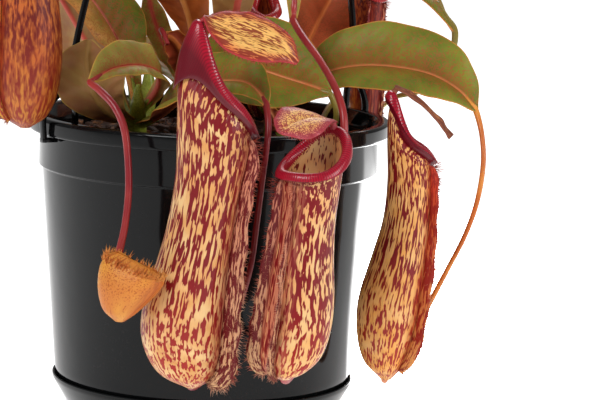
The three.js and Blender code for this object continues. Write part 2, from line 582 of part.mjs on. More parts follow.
// Each leaf starts on the middle of its stem. Rows are x, y, z, half width, left and right lift.
// A tendril's rows are x, y, z and radius, and one that carries a pitcher ends inside its foot.
const LEAVES = {
  left_high: {
    stem: 'left', azimuth: 150, color: GREEN, carries: 'left',
    rows: [
      [-30, -12, 125, 2, 10, 10], [-34, -5, 142, 6, 15, 35], [-41, 0, 157, 17, 5, 30],
      [-52, 3, 172, 20, 5, 25], [-68, 4, 186, 18, 5, 20], [-85, 0, 192, 11, 5, 15],
      [-97, -8, 191, 1.6, 5, 10],
    ],
    tendril: [
      [-97, -8, 191, 1.5], [-106, -16, 185, 1.3], [-111, -28, 170, 1.2], [-109, -42, 152, 1.2],
      [-103, -52, 137, 1.3], [-95, -56, 128, 1.5], [-84, -56, 128.5, 1.8], [-76, -56, 131, 1.8],
    ],
  },
  left_arched: {
    stem: 'left', azimuth: 240, color: OLIVE, carries: 'young',
    rows: [
      [-30, -12, 125, 2, 0, 20], [-22, -22, 136, 5, -20, 50], [-21, -34, 144.5, 9.5, -30, 66],
      [-29, -48, 149, 11, -30, 70], [-39, -59, 148.5, 9.5, -20, 70], [-47, -68, 144, 1.8, -10, 60],
    ],
    sides: [0.6, 1],
    tendril: [
      [-47, -68, 144, 1.4], [-43, -73, 141.5, 1.5], [-37, -78, 136, 1.5], [-33, -81.5, 128, 1.5],
      [-31.2, -84, 117, 1.4], [-30.5, -86.5, 104, 1.4], [-31.5, -89, 91, 1.4], [-33.5, -90.5, 80, 1.5],
      [-35, -91, 69, 1.5], [-34, -94, 59.5, 1.6], [-32, -101, 58, 1.8],
    ],
  },
  left_upright: {
    stem: 'left', azimuth: 180, color: OLIVE,
    rows: [
      [-30, -12, 122, 2, 20, -20], [-40, -33, 127.5, 7, 65, -60], [-47, -42.5, 138, 14, 82, -80],
      [-49.5, -43, 149.5, 13, 80, -80], [-49, -43, 158.5, 1.6, 80, -80],
    ],
  },
  left_rear: {
    stem: 'left', azimuth: 150, color: OLIVE,
    rows: [
      [-30, -12, 123, 2, 10, -10], [-38, 2, 134, 8, 60, -60], [-49, 17, 147, 13, 75, -75],
      [-59, 28, 161, 17, 75, -75], [-68, 34, 175, 13, 75, -75], [-75, 36, 187, 1.6, 75, -75],
    ],
  },
  middle_front: {
    stem: 'left', azimuth: -48, color: GREEN, carries: 'front_left',
    rows: [
      [-30, -12, 121, 2, 0, 0], [-20, -27.5, 127, 8.5, 60, -10], [-10, -41, 136, 16, 64, -15],
      [2, -54, 143.5, 15, 65, -15], [13, -62, 145, 12, 65, -15], [19, -67, 142, 6, 60, -15],
      [22, -71, 137.5, 1.4, 50, -10],
    ],
    tendril: [
      [22, -71, 137.5, 1.4], [23, -76, 130, 1.3], [22.3, -79, 120, 1.2], [21, -80, 107, 1.2],
      [19.6, -79.5, 92, 1.2], [18, -78, 76, 1.2], [14.5, -72.5, 60, 1.2], [10, -71, 46, 1.2],
      [4, -71.5, 34, 1.4], [-1, -77, 27.5, 1.6], [-4, -84.5, 27.5, 1.7], [-4.5, -91, 31, 1.7],
    ],
  },
  middle_broad: {
    stem: 'right', azimuth: -5, color: GREEN, carries: 'inner_right',
    rows: [
      [27, 4, 124, 2, 0, 0], [16, 7, 134, 5, 40, -10], [8, 3, 143, 15, 70, -25],
      [15, -7, 146, 22, 78, -32], [30, -14, 142.5, 22, 78, -34], [42, -18, 139.5, 12, 78, -34],
      [49, -20, 137, 1.5, 70, -30],
    ],
    tendril: [
      [49, -20, 137, 1.3], [51.5, -20, 131, 1.2], [51.5, -17, 124.5, 1.2], [49, -9, 120, 1.2],
      [46, 4, 118.8, 1.2], [47, 18, 121, 1.2], [52, 33, 127.5, 1.2], [57, 49, 128, 1.2], [61, 60, 120, 1.2],
      [65, 60, 112.5, 1.3], [67, 53, 111.5, 1.4], [67.4, 49, 115, 1.4],
    ],
  },
  right_large: {
    stem: 'right', azimuth: -8, color: GREEN, carries: 'right',
    rows: [
      [27, 4, 126, 2, 0, 0], [39, -1, 139, 6, 50, -15], [52, -5, 145.5, 15, 76, -24],
      [68, -8, 148, 19, 78, -24], [88, -11, 146, 18, 78, -24], [101, -13, 140, 12, 78, -24],
      [109.5, -14, 131.5, 1.5, 60, -20],
    ],
    tendril: [
      [109.5, -14, 131.5, 1.3], [112, -18, 122, 1.1], [112.7, -22, 110, 1.1], [110.5, -25, 95, 1.1],
      [106, -26, 81, 1.1], [99.5, -26, 67, 1.1], [93.5, -25, 54, 1.2], [88, -24, 43, 1.2],
      [82, -24, 33, 1.3], [77, -27, 24.5, 1.4], [75, -33, 21.5, 1.5], [74.5, -40, 26, 1.6],
    ],
  },
  right_behind: {
    stem: 'back', azimuth: 10, color: GREEN, carries: 'back_right',
    rows: [
      [-2, 34, 126, 2, 0, 0], [7, 47, 148, 5, 10, 0], [19, 65, 170, 12, 20, -30],
      [40, 84, 184, 18, 20, -50], [68, 92, 188, 19, 20, -50], [92, 82, 176, 13, 20, -50],
      [106, 64, 157, 1.6, 10, -30],
    ],
    tendril: [
      [106, 64, 157, 1.5], [104, 58, 146, 1.3], [98, 56, 137, 1.2], [90, 56, 131, 1.2],
      [80, 64, 127, 1.2], [71, 74, 116, 1.2], [66, 82, 100, 1.2], [64, 87, 80, 1.2], [64, 91, 60, 1.3],
      [64, 91, 44, 1.5], [60, 86, 34, 1.6], [52, 77, 38, 1.6],
    ],
  },
  right_upright: {
    stem: 'right', azimuth: 0, color: RUSSET,
    rows: [
      [27, 4, 127, 2, 0, 0], [35, 23, 139, 5, 40, -40], [41, 45, 151, 10, 80, -80],
      [49, 62, 166, 14, 82, -82], [60, 68, 184, 14, 75, -75], [74, 66, 199, 9, 50, -50],
      [88, 60, 206, 1.6, 20, -20],
    ],
    tendril: [
      [88, 60, 206, 1.4], [98, 54, 205, 1.2], [105, 46, 197, 1.2], [107, 39, 187, 1.4],
      [104, 34, 180, 2.4], [100, 32, 176, 1.2],
    ],
  },
  over_front: {
    stem: 'back', azimuth: -65, color: OLIVE, carries: 'front_right',
    rows: [
      [-2, 34, 127, 2, 0, 0], [7, 30, 152, 6, 20, 20], [12, 19, 179, 14, 25, 25],
      [19, 5, 198, 18, 15, 15], [27, -10, 198, 14, 10, 10], [32, -22, 184, 6, 5, 5],
      [32.5, -28, 168, 1.6, 0, 0],
    ],
    tendril: [
      [32.5, -28, 168, 1.5], [36, -39, 162.5, 1.5], [43, -53, 154, 1.5], [49, -66, 144.5, 1.5],
      [52.3, -75, 134, 1.5], [52, -77, 120, 1.7], [49, -76.5, 104, 1.7], [46, -76, 86, 1.7],
      [44, -76, 66, 1.7],
      [42, -77, 50, 1.8], [38, -80, 38, 1.8], [33, -88, 32, 1.8], [31, -97, 37, 1.8],
    ],
  },
  left_top: {
    stem: 'back', azimuth: 170, color: ORANGE,
    rows: [
      [-2, 34, 128, 2, 0, 0], [-7, 30, 146, 4.5, 30, -30], [-9.5, 24, 162, 11, 60, -60],
      [-15.5, 18, 176, 14, 60, -60], [-27, 14, 188, 11, 45, -45], [-43, 9, 194, 7, 30, -30],
      [-56, 4, 193, 1.6, 10, -10],
    ],
    tendril: [
      [-56, 4, 193, 1.3], [-65, 0, 192, 1.2], [-72, -4, 197, 1.2], [-72, -6, 205, 1.6], [-68, -6, 210, 1],
    ],
  },
  left_slim: {
    stem: 'back', azimuth: 90, color: OLIVE,
    rows: [
      [-2, 34, 125, 2, 0, 0], [-13, 34, 138, 3, 0, 0], [-20, 34, 150, 5, 0, 0],
      [-25, 32, 162, 5.5, 0, 0], [-28, 30, 174, 1.4, 0, 0],
    ],
  },
  left_inner: {
    stem: 'back', azimuth: 225, color: RUSSET,
    rows: [
      [-2, 34, 124, 2, 0, 0], [-8, 25, 137, 5, 30, -30], [-12, 14, 148, 7, 60, -60],
      [-16, 6, 155, 5, 60, -60], [-20, 0, 158, 1.4, 50, -50],
    ],
    tendril: [[-20, 0, 158, 1.2], [-21, -4, 160, 1.1], [-20, -9, 159, 1], [-18, -13, 155, 0.9]],
  },
  inner_low: {
    stem: 'back', azimuth: -15, color: GREEN, carries: 'inner_back',
    rows: [
      [-2, 34, 124, 2, 0, 0], [5, 28, 130, 3, 10, -10], [14, 24, 133, 4.5, 20, -20],
      [24, 25, 132, 4, 20, -20], [32, 28, 128, 3, 20, -20], [36, 33, 124, 1.4, 10, -10],
    ],
    tendril: [
      [36, 33, 124, 1.2], [37.5, 38, 120.5, 1.1], [35, 44, 118.8, 1.1], [30, 47.5, 118.4, 1.1],
      [24.5, 47, 120, 1.2], [22, 43, 123, 1.2],
    ],
  },
  middle_small: {
    stem: 'right', azimuth: 250, color: GREEN,
    rows: [
      [27, 4, 120, 2, 0, 0], [27.5, -12, 121.5, 3, 20, 30], [26.5, -25, 122.5, 3.5, 30, 60],
      [24.5, -35, 129.5, 4.5, 30, 75], [23, -41, 133, 1.4, 20, 60],
    ],
  },
  back_left: {
    stem: 'back', azimuth: 125, color: GREEN,
    rows: [
      [-2, 34, 121, 2, 0, 0], [-12, 48, 132, 7, 15, 15], [-25, 62, 143, 16, 15, 15],
      [-37, 77, 146, 18, 5, 5], [-46, 90, 139, 11, 0, 0], [-51, 98, 129, 1.6, -5, -5],
    ],
    tendril: [
      [-51, 98, 129, 1.5], [-56, 107, 118, 1.3], [-60, 111, 102, 1.2], [-61, 109, 86, 1.2],
      [-59, 104, 72, 1.3], [-55, 98, 64, 1.6], [-51, 93, 66, 2.6], [-49, 91, 72, 1.4],
    ],
  },
  back_right: {
    stem: 'back', azimuth: 72, color: GREEN,
    rows: [
      [-2, 34, 120, 2, 0, 0], [7, 50, 128, 7, 20, 20], [14, 67, 138, 16, 15, 15],
      [19, 84, 139, 18, 5, 5], [23, 99, 130, 11, -5, -5], [25, 108, 118, 1.6, -5, -5],
    ],
    tendril: [
      [25, 108, 118, 1.4], [25, 112, 106, 1.3], [22, 113, 92, 1.3], [16, 112, 81, 1.4], [10, 108, 76, 2.6],
      [7, 104, 77, 1.4],
    ],
  },
};

// The closed young pitcher: a plump bag whose mouth is still shut under a frilled rim.
const YOUNG = {
  at: [-29.5, -104, 0], azimuth: -20, pinch: 0, sag: 0, neck: 0,
  rows: [
    [-4.6, 56, -1, 56, 1.5],
    [-9.6, 61, 4.2, 60, 6.5],
    [-11.7, 69, 10.7, 66.5, 8.6],
    [-11.3, 77, 14.5, 71.5, 7.6],
    [-8.7, 82, 14.5, 74, 5.5],
  ],
};

function youngPitcher(tail) {
  const rings = [];
  for (let i = 0; i <= 7; i += 1) rings.push(ringOf(YOUNG, i / 7, 0));
  rings.push(ringOf(YOUNG, 1, 2.2).map((p) => p.add(new THREE.Vector3(0.7, 0, 1.6))));
  const frill = Array.from({ length: 16 }, (_, k) => {
    const turn = (2 * Math.PI * k) / 16;
    const { out, on } = wallFrame(YOUNG, 0.93, turn);
    const tall = k % 2 ? 4.4 : 2.4;
    return [[-1.2, -1], [1.2, 0], [1.6, tall], [0.7, tall], [-1.2, 1]].map(([a, b]) =>
      wallPoint(YOUNG, 0.93, turn).addScaledVector(out, a).addScaledVector(on, b));
  });
  return joined([closedSurface(rings), closedSurface(frill, true), tail]);
}

function addLeaf(name, leaf) {
  const start = reach(leaf.rows, STEM.petiole + 1.5 * GAP);
  const pieces = [blade(leaf.rows, { azimuth: leaf.azimuth, from: start, sides: leaf.sides })];
  if (leaf.tendril) {
    const root = along(leaf.rows, 0.94);
    const rows = [[root[0], root[1], root[2], leaf.tendril[0][3]], ...leaf.tendril];
    const end = leaf.carries ? reach(rows, STUB + GAP, true) : 1;
    pieces.push(stalk(rows, { to: end, steps: rows.length, sides: 5 }));
  }
  addMesh(`leaf_${name}`, joined(pieces), leaf.color);
}

// The foot of a pitcher: the last of the tendril's path, which grows into the cup.
function footOf(name) {
  const leaf = Object.values(LEAVES).find((each) => each.carries === name);
  return stalk(leaf.tendril, { from: reach(leaf.tendril, STUB, true), steps: 3, sides: 5 });
}

function addPitcher(name, pitcher) {
  const body = joined([cupShell(pitcher), wing(pitcher, 1), wing(pitcher, -1), footOf(name)]);
  addMesh(`pitcher_${name}`, body, pitcher.color);
  addMesh(`peristome_${name}`, peristome(pitcher), CRIMSON);
  addMesh(`lid_${name}`, lid(pitcher), pitcher.color);
}

function addStem(name, [x, y]) {
  const stem = new THREE.CylinderGeometry(STEM.radius * 0.8, STEM.radius, STEM.top - STEM.bottom, STEM.sides);
  stem.rotateX(Math.PI / 2).translate(x, y, (STEM.top + STEM.bottom) / 2);
  const petioles = Object.values(LEAVES).filter((leaf) => leaf.stem === name).map((leaf) => {
    const rows = leaf.rows.map((row) => [row[0], row[1], row[2], 2]);
    return stalk(rows, { to: reach(rows, STEM.petiole), steps: 2, sides: 5 });
  });
  const buds = (BUDS[name] ?? []).map((rows) => stalk(rows, { steps: 5, sides: 7 }));
  addMesh(`stem_${name}`, joined([stem, ...petioles, ...buds]), GREEN);
}

addMesh('pot', turned(potProfile(), BODY.segments), BLACK);
addMesh('drip_saucer', turned(saucerProfile(), BODY.segments), BLACK);
addMesh('soil', soilSolid(Object.values(STEMS)), EARTH);
addMesh('hanger', hanger(), BLACK);
Object.entries(STEMS).forEach(([name, place]) => addStem(name, place));
Object.entries(LEAVES).forEach(([name, leaf]) => addLeaf(name, leaf));
Object.entries(PITCHERS).forEach(([name, pitcher]) => addPitcher(name, pitcher));
addMesh('young_pitcher', youngPitcher(footOf('young')), ORANGE);

export default plant;
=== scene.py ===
"""The dressed pitcher plant: leaves, hanging pitchers, pot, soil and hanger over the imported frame.

Lengths in this file are millimetres until a mesh is made, +Z is up and the front is -Y.
"""
import logging
import math
from dataclasses import dataclass, field, replace
from enum import Enum
from functools import partial
from typing import Any, Callable, Optional, Sequence

import bpy
import numpy as np
from mathutils import Matrix, Vector


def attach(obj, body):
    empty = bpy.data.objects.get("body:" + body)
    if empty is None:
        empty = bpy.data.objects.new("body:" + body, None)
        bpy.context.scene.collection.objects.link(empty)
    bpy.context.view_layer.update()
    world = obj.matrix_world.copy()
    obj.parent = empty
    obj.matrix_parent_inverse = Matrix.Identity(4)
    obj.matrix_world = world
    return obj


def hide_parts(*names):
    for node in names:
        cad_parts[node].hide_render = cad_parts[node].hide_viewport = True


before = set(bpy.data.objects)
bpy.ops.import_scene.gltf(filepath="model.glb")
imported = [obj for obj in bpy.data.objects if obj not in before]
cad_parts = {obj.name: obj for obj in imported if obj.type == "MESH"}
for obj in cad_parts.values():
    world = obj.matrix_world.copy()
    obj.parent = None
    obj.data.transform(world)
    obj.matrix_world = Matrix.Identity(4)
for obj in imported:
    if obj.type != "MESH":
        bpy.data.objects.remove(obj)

LOG = logging.getLogger("pitcher_plant")
MM = 0.001
FULL_TURN = 2 * math.pi
TUBE_SIDE = np.array([0.31, 0.94, 0.12])  # where a tube's first ring starts, as no tube runs that way
HAIR_SIDE = np.array([0.37, 0.21, 0.9])  # the same for the three corners at a hair's root
Rows = Sequence[Sequence[float]]
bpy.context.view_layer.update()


# ---------------------------------------------------------------- curves and meshes

def between_two(a: Any, b: Any, c: Any, d: Any, f: Any) -> Any:
    """Catmull-Rom: the smooth value at share f from b to c, where a comes before and d after."""
    return b + 0.5 * f * (c - a + f * (2 * a - 5 * b + 4 * c - d + f * (3 * (b - c) + d - a)))


def along(rows: Rows, t: np.ndarray) -> np.ndarray:
    """Smooth value of every column of the rows: a Catmull-Rom curve through them.

    Args:
        rows: the places the curve passes through, one row each.
        t: where to read it, from 0 at the first row to 1 at the last.

    Returns:
        One row of values for each t.
    """
    table = np.asarray(rows, dtype=float)
    last = len(table) - 1
    place = np.clip(np.asarray(t, dtype=float), 0, 1) * last
    i = np.minimum(place.astype(int), last - 1)
    f = (place - i)[:, None]
    padded = np.vstack([2 * table[0] - table[1], table, 2 * table[-1] - table[-2]])
    return between_two(padded[i], padded[i + 1], padded[i + 2], padded[i + 3], f)


def unit(vectors: np.ndarray) -> np.ndarray:
    """Each vector over its own length."""
    return vectors / np.maximum(np.linalg.norm(vectors, axis=-1, keepdims=True), 1e-9)


def triples(*parts: Any) -> np.ndarray:
    """The parts side by side in a new last axis, each repeated to fill the others' layout."""
    return np.stack(np.broadcast_arrays(*parts), axis=-1)


def even_turns(count: int) -> np.ndarray:
    """Evenly spaced turns all round, in radians."""
    return np.linspace(0, FULL_TURN, count, endpoint=False)


def ring(radius: Any, turn: np.ndarray, height: Any) -> np.ndarray:
    """Points round the upright axis: radius times the turn's cosine and sine, and the height."""
    return triples(radius * np.cos(turn), radius * np.sin(turn), height)


def spun(x: Any, y: Any, degrees: float) -> tuple[Any, Any]:
    """x and y turned about the upright axis."""
    aim = math.radians(degrees)
    return x * math.cos(aim) - y * math.sin(aim), x * math.sin(aim) + y * math.cos(aim)


def heading(rows: Rows, t: np.ndarray) -> np.ndarray:
    """Unit direction of the curve: the step from just before each t to just after it."""
    ahead = along(rows, np.minimum(t + 0.01, 1))[:, :3] - along(rows, np.maximum(t - 0.01, 0))[:, :3]
    return unit(ahead)


def length_along(rows: Rows, t: np.ndarray) -> np.ndarray:
    """Millimetres travelled from the first row to each t, as the sum of the chords."""
    places = along(rows, t)[:, :3]
    return np.concatenate([[0.0], np.cumsum(np.linalg.norm(np.diff(places, axis=0), axis=1))])


def carried_sides(path: np.ndarray, ahead: np.ndarray) -> tuple[np.ndarray, np.ndarray]:
    """Two unit directions across a path that turn as little as they can along it.

    Args:
        path: points along the path.
        ahead: the path's unit direction at each point.

    Returns:
        The two directions, at right angles to each other and to the path.
    """
    side = TUBE_SIDE
    sides = np.empty_like(path)
    for i, direction in enumerate(ahead):
        side = side - direction * side.dot(direction)
        side /= np.linalg.norm(side)
        sides[i] = side
    return sides, np.cross(ahead, sides)


def new_object(name: str, data: Any) -> bpy.types.Object:
    """A new object round a mesh, light or camera, linked to the scene."""
    made = bpy.data.objects.new(name, data)
    bpy.context.scene.collection.objects.link(made)
    return made


@dataclass
class Mould:
    """Gathers closed surfaces in millimetres until they become one mesh."""

    points: list[np.ndarray] = field(default_factory=list)
    corners: list[np.ndarray] = field(default_factory=list)
    counts: list[np.ndarray] = field(default_factory=list)
    finishes: list[np.ndarray] = field(default_factory=list)
    values: list[dict[str, np.ndarray]] = field(default_factory=list)
    total: int = 0

    def _take(self, points: np.ndarray, quads: np.ndarray, triangles: np.ndarray, finish: int,
              values: dict[str, np.ndarray]) -> None:
        """Stores one closed surface, turned so that its faces point outwards.

        Args:
            points: its corners.
            quads: four corner numbers a face.
            triangles: three corner numbers a face.
            finish: the number of its material.
            values: named values for each corner, plain or in threes.
        """
        split = np.vstack([quads[:, [0, 1, 2]], quads[:, [0, 2, 3]], triangles])
        a, b, c = (points[split[:, k]] for k in range(3))
        if np.einsum("ij,ij->i", a, np.cross(b, c)).sum() < 0:
            quads, triangles = quads[:, ::-1], triangles[:, ::-1]
        self.points.append(points)
        for faces in (quads, triangles):
            if len(faces):
                self.corners.append((faces + self.total).ravel())
                self.counts.append(np.full(len(faces), faces.shape[1]))
                self.finishes.append(np.full(len(faces), finish))
        self.values.append({name: np.asarray(value, dtype=float) for name, value in values.items()})
        self.total += len(points)

    def add_rings(self, rings: np.ndarray, finish: int = 0, is_loop: bool = False,
                  **values: np.ndarray) -> None:
        """Adds a surface through closed rings of points, capped at both ends unless it is a loop.

        Args:
            rings: rings, points round each ring, and x, y, z.
            finish: the number of its material.
            is_loop: whether the last ring joins the first.
            values: named values, one a point or three a point, in the rings' own layout.
        """
        m, n = rings.shape[:2]
        i, j = np.meshgrid(np.arange(m if is_loop else m - 1), np.arange(n), indexing="ij")
        i2, j2 = (i + 1) % m, (j + 1) % n
        quads = np.stack([i * n + j, i * n + j2, i2 * n + j2, i2 * n + j], axis=-1).reshape(-1, 4)
        points = rings.reshape(-1, 3)
        flat = {k: np.asarray(v).reshape(m * n, -1) for k, v in values.items()}
        triangles = np.empty((0, 3), dtype=int)
        if not is_loop:
            k = np.arange(n)
            first = np.stack([(k + 1) % n, k, np.full(n, m * n)], axis=-1)
            last = np.stack([(m - 1) * n + k, (m - 1) * n + (k + 1) % n, np.full(n, m * n + 1)], axis=-1)
            triangles = np.vstack([first, last])
            points = np.vstack([points, rings[0].mean(axis=0), rings[-1].mean(axis=0)])
            flat = {key: np.vstack([v, v[:n].mean(axis=0), v[-n:].mean(axis=0)]) for key, v in flat.items()}
        self._take(points, quads, triangles, finish, flat)

    def add_many(self, shapes: np.ndarray, triangles: np.ndarray, finish: int = 0,
                 **values: np.ndarray) -> None:
        """Adds many copies of one small closed shape.

        Args:
            shapes: copies, points of each copy, and x, y, z.
            triangles: the faces of one copy.
            finish: the number of its material.
            values: named values in the copies' own layout.
        """
        copies, size = shapes.shape[:2]
        faces = (np.arange(copies)[:, None, None] * size + triangles[None]).reshape(-1, 3)
        flat = {k: np.asarray(v).reshape(copies * size, -1) for k, v in values.items()}
        self._take(shapes.reshape(-1, 3), np.empty((0, 4), dtype=int), faces, finish, flat)

    def cast(self, name: str, materials: Sequence[bpy.types.Material], node: Sequence[str],
             slot: str) -> bpy.types.Object:
        """Makes the mesh and its object, in metres, and hands it to the frame.

        Args:
            name: the piece's name.
            materials: its materials, in the order of their numbers.
            node: the plain solids that it stands for.
            slot: the record's material slot; not used.

        Returns:
            The finished object.
        """
        mesh = bpy.data.meshes.new(name)
        points = np.vstack(self.points) * MM
        corners, counts = np.concatenate(self.corners), np.concatenate(self.counts)
        mesh.vertices.add(len(points))
        mesh.vertices.foreach_set("co", points.ravel())
        mesh.loops.add(len(corners))
        mesh.loops.foreach_set("vertex_index", corners.astype(np.int32))
        mesh.polygons.add(len(counts))
        starts = np.concatenate([[0], np.cumsum(counts)[:-1]])
        mesh.polygons.foreach_set("loop_start", starts.astype(np.int32))
        mesh.polygons.foreach_set("material_index", np.concatenate(self.finishes).astype(np.int32))
        mesh.polygons.foreach_set("use_smooth", np.ones(len(counts), dtype=bool))
        for key in sorted({key for part in self.values for key in part}):
            width = next(part[key].shape[1] for part in self.values if key in part)
            full = [part.get(key, np.zeros((len(p), width))) for part, p in zip(self.values, self.points)]
            kind, item = ("FLOAT", "value") if width == 1 else ("FLOAT_VECTOR", "vector")
            layer = mesh.attributes.new(key, kind, "POINT")
            layer.data.foreach_set(item, np.vstack(full).ravel())
        for material in materials:
            mesh.materials.append(material)
        mesh.update(calc_edges=True)
        mesh.validate()
        piece = new_object(name, mesh)
        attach(piece, "root")
        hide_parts(*node)
        LOG.info("%s: %d faces", name, len(mesh.polygons))
        return piece


def tube(rows: Rows, sides: int, steps: int) -> tuple[np.ndarray, np.ndarray]:
    """Round tube along rows of x, y, z and radius.

    The ring at each step is the curve's point plus its radius times cos and sin of the turn
    along the two sides that are carried down the curve.

    Args:
        rows: the curve and its radius.
        sides: points round the tube.
        steps: stretches along it.

    Returns:
        The rings, and the millimetres along the tube at each point.
    """
    t = np.linspace(0, 1, steps + 1)
    path = along(rows, t)
    side, up = carried_sides(path[:, :3], heading(rows, t))
    turn = even_turns(sides)
    round_it = side[:, None] * np.cos(turn)[None, :, None] + up[:, None] * np.sin(turn)[None, :, None]
    rings = path[:, None, :3] + round_it * path[:, 3][:, None, None]
    travelled = np.broadcast_to(length_along(rows, t)[:, None], (steps + 1, sides))
    return rings, travelled


def hairs(roots: np.ndarray, ahead: np.ndarray, long: np.ndarray,
          thick: float) -> tuple[np.ndarray, np.ndarray]:
    """Fine hairs: three corners round each root, and a tip at root plus direction times length.

    Args:
        roots: where each hair grows.
        ahead: its unit direction.
        long: its length.
        thick: its radius at the root.

    Returns:
        The copies' points, and the faces of one copy.
    """
    aside = unit(np.cross(ahead, HAIR_SIDE))
    above = np.cross(ahead, aside)
    feet = [roots + thick * (aside * math.cos(a) + above * math.sin(a)) for a in even_turns(3)]
    shapes = np.stack([*feet, roots + ahead * long[:, None]], axis=1)
    return shapes, np.array([[0, 2, 1], [0, 1, 3], [1, 2, 3], [2, 0, 3]])


# ---------------------------------------------------------------- materials

SHARE, FIRST, SECOND = 0, 6, 7  # the inputs of a Mix node between two colours
Inputs = Sequence[Any] | dict[Any, Any]
Adder = Callable[..., bpy.types.Node]
Surface = tuple[Any, Any, float]


def linear(colour: str) -> tuple[float, float, float, float]:
    """An sRGB hex colour as the linear colour that a shader takes."""
    parts = [int(colour[i:i + 2], 16) / 255 for i in (1, 3, 5)]
    red, green, blue = (c / 12.92 if c <= 0.04045 else ((c + 0.055) / 1.055) ** 2.4 for c in parts)
    return red, green, blue, 1.0


def output_of(value: Any) -> Any:
    """A node's first output that is in use, and anything else as it is."""
    if isinstance(value, bpy.types.Node):
        return next(output for output in value.outputs if output.enabled)
    return value


def fill_inputs(tree: bpy.types.NodeTree, node: bpy.types.Node, values: Inputs) -> None:
    """Sets or links a node's inputs.

    Args:
        tree: the material's tree.
        node: the node.
        values: its inputs in order, or by name or number. Each is a constant, a hex colour, an
            output socket, or a node whose first output is meant.
    """
    for key, value in values.items() if isinstance(values, dict) else enumerate(values):
        value = output_of(value)
        if isinstance(value, bpy.types.NodeSocket):
            tree.links.new(value, node.inputs[key])
        else:
            node.inputs[key].default_value = linear(value) if isinstance(value, str) else value


def add_node(tree: bpy.types.NodeTree, kind: str, values: Inputs = (),
             stops: Sequence[tuple[float, Any]] = (), **settings: Any) -> bpy.types.Node:
    """Adds one node with its settings and links.

    Args:
        tree: the material's tree.
        kind: the node's type without its ShaderNode prefix.
        values: its inputs, as fill_inputs takes them.
        stops: places and grey levels or hex colours of a colour ramp.
        settings: the node's own settings.

    Returns:
        The node.
    """
    node = tree.nodes.new(f"ShaderNode{kind}")
    for name, setting in settings.items():
        setattr(node, name, setting)
    for k, (place, level) in enumerate(stops):
        ramp = node.color_ramp.elements
        element = ramp[k] if k < 2 else ramp.new(place)
        element.position = place
        element.color = linear(level) if isinstance(level, str) else (level, level, level, 1.0)
    fill_inputs(tree, node, values)
    return node


def parts_of(add: Adder, attribute: str) -> Sequence[bpy.types.NodeSocket]:
    """The three parts of the mesh's own attribute of that name."""
    return add("SeparateXYZ", [add("Attribute", attribute_name=attribute).outputs["Vector"]]).outputs


@dataclass(frozen=True)
class Finish:
    """A material that is made once and then shared.

    Attributes:
        name: what the real surface is.
        roughness: how matt it is.
        coat: how much clear gloss lies on it.
        soft: how much light goes in and comes out again.
        shine: how strongly it reflects, 0.5 for most things.
    """

    name: str
    roughness: float = 0.5
    coat: float = 0.0
    soft: float = 0.0
    shine: float = 0.35

    def material(self) -> bpy.types.Material:
        """The Blender material, made on first use."""
        found = bpy.data.materials.get(self.name)
        if found:
            return found
        made = bpy.data.materials.new(self.name)
        made.use_nodes = True
        tree = made.node_tree
        add = partial(add_node, tree)
        colour, height, depth = self.surface(add)
        values = {"Roughness": self.roughness, "Coat Weight": self.coat, "Coat Roughness": 0.1,
                  "Specular IOR Level": self.shine, "Base Color": colour}
        if self.soft:
            values |= {"Subsurface Weight": self.soft, "Subsurface Radius": (1.0, 0.45, 0.2),
                       "Subsurface Scale": 1.5 * MM}
        if height is not None:
            values["Normal"] = add("Bump", {"Height": height, "Distance": depth * MM, "Strength": 1.0})
        fill_inputs(tree, tree.nodes["Principled BSDF"], values)
        return made

    def surface(self, add: Adder) -> Surface:
        """The colour, the relief and the relief's depth in millimetres.

        Args:
            add: adds a node to the material's tree; see add_node.

        Returns:
            The nodes for the colour and the relief, and the depth.
        """
        raise NotImplementedError


@dataclass(frozen=True)
class MouldedPlastic(Finish):
    """Injection-moulded polypropylene: near black and glossy, with the faint unevenness of the
    mould and a little dust, so that its highlights are not clean lines.

    Attributes:
        base: its colour.
        dust: the colour of the dust on it.
    """

    base: str = "#0c0d0e"
    dust: str = "#2c2b2d"

    def surface(self, add: Adder) -> Surface:
        """Dust specks of 1 mm over a plain ground, and a relief of 14 mm waves."""
        place = add("TexCoord").outputs["Object"]
        specks = add("TexNoise", {"Vector": place, "Scale": 900.0, "Detail": 3.0})
        drifts = add("TexNoise", {"Vector": place, "Scale": 28.0, "Detail": 3.0})
        mask = add("ValToRGB", [specks], [(0.6, 0.0), (0.78, 0.75)])
        where = add("ValToRGB", [drifts], [(0.42, 0.05), (0.7, 1.0)])
        dusty = add("Math", [mask, where], operation="MULTIPLY")
        colour = add("Mix", {SHARE: dusty, FIRST: self.base, SECOND: self.dust}, data_type="RGBA")
        waves = add("TexNoise", {"Vector": place, "Scale": 70.0, "Detail": 1.0})
        return colour, waves, 0.1


@dataclass(frozen=True)
class PottingMix(Finish):
    """Damp potting mix of peat and bark fines: crumbs of several browns, dull all over.

    Attributes:
        dark: the wet crumbs.
        light: the dry ones.
        crumb: the crumbs' size in millimetres.
    """

    dark: str = "#1d120c"
    light: str = "#6a452c"
    crumb: float = 2.2

    def surface(self, add: Adder) -> Surface:
        """Cells of the crumbs' size in dark to light browns, with fine grit in the relief."""
        place = add("TexCoord").outputs["Object"]
        cells = add("TexVoronoi", {"Vector": place, "Scale": 1.0 / (self.crumb * MM)})
        grit = add("TexNoise", {"Vector": place, "Scale": 700.0, "Detail": 4.0})
        shade = add("Math", [cells, grit], operation="MULTIPLY")
        colour = add("ValToRGB", [shade], [(0.05, self.dark), (0.3, "#3d2617"), (0.5, self.light)])
        return colour, grit, 0.8


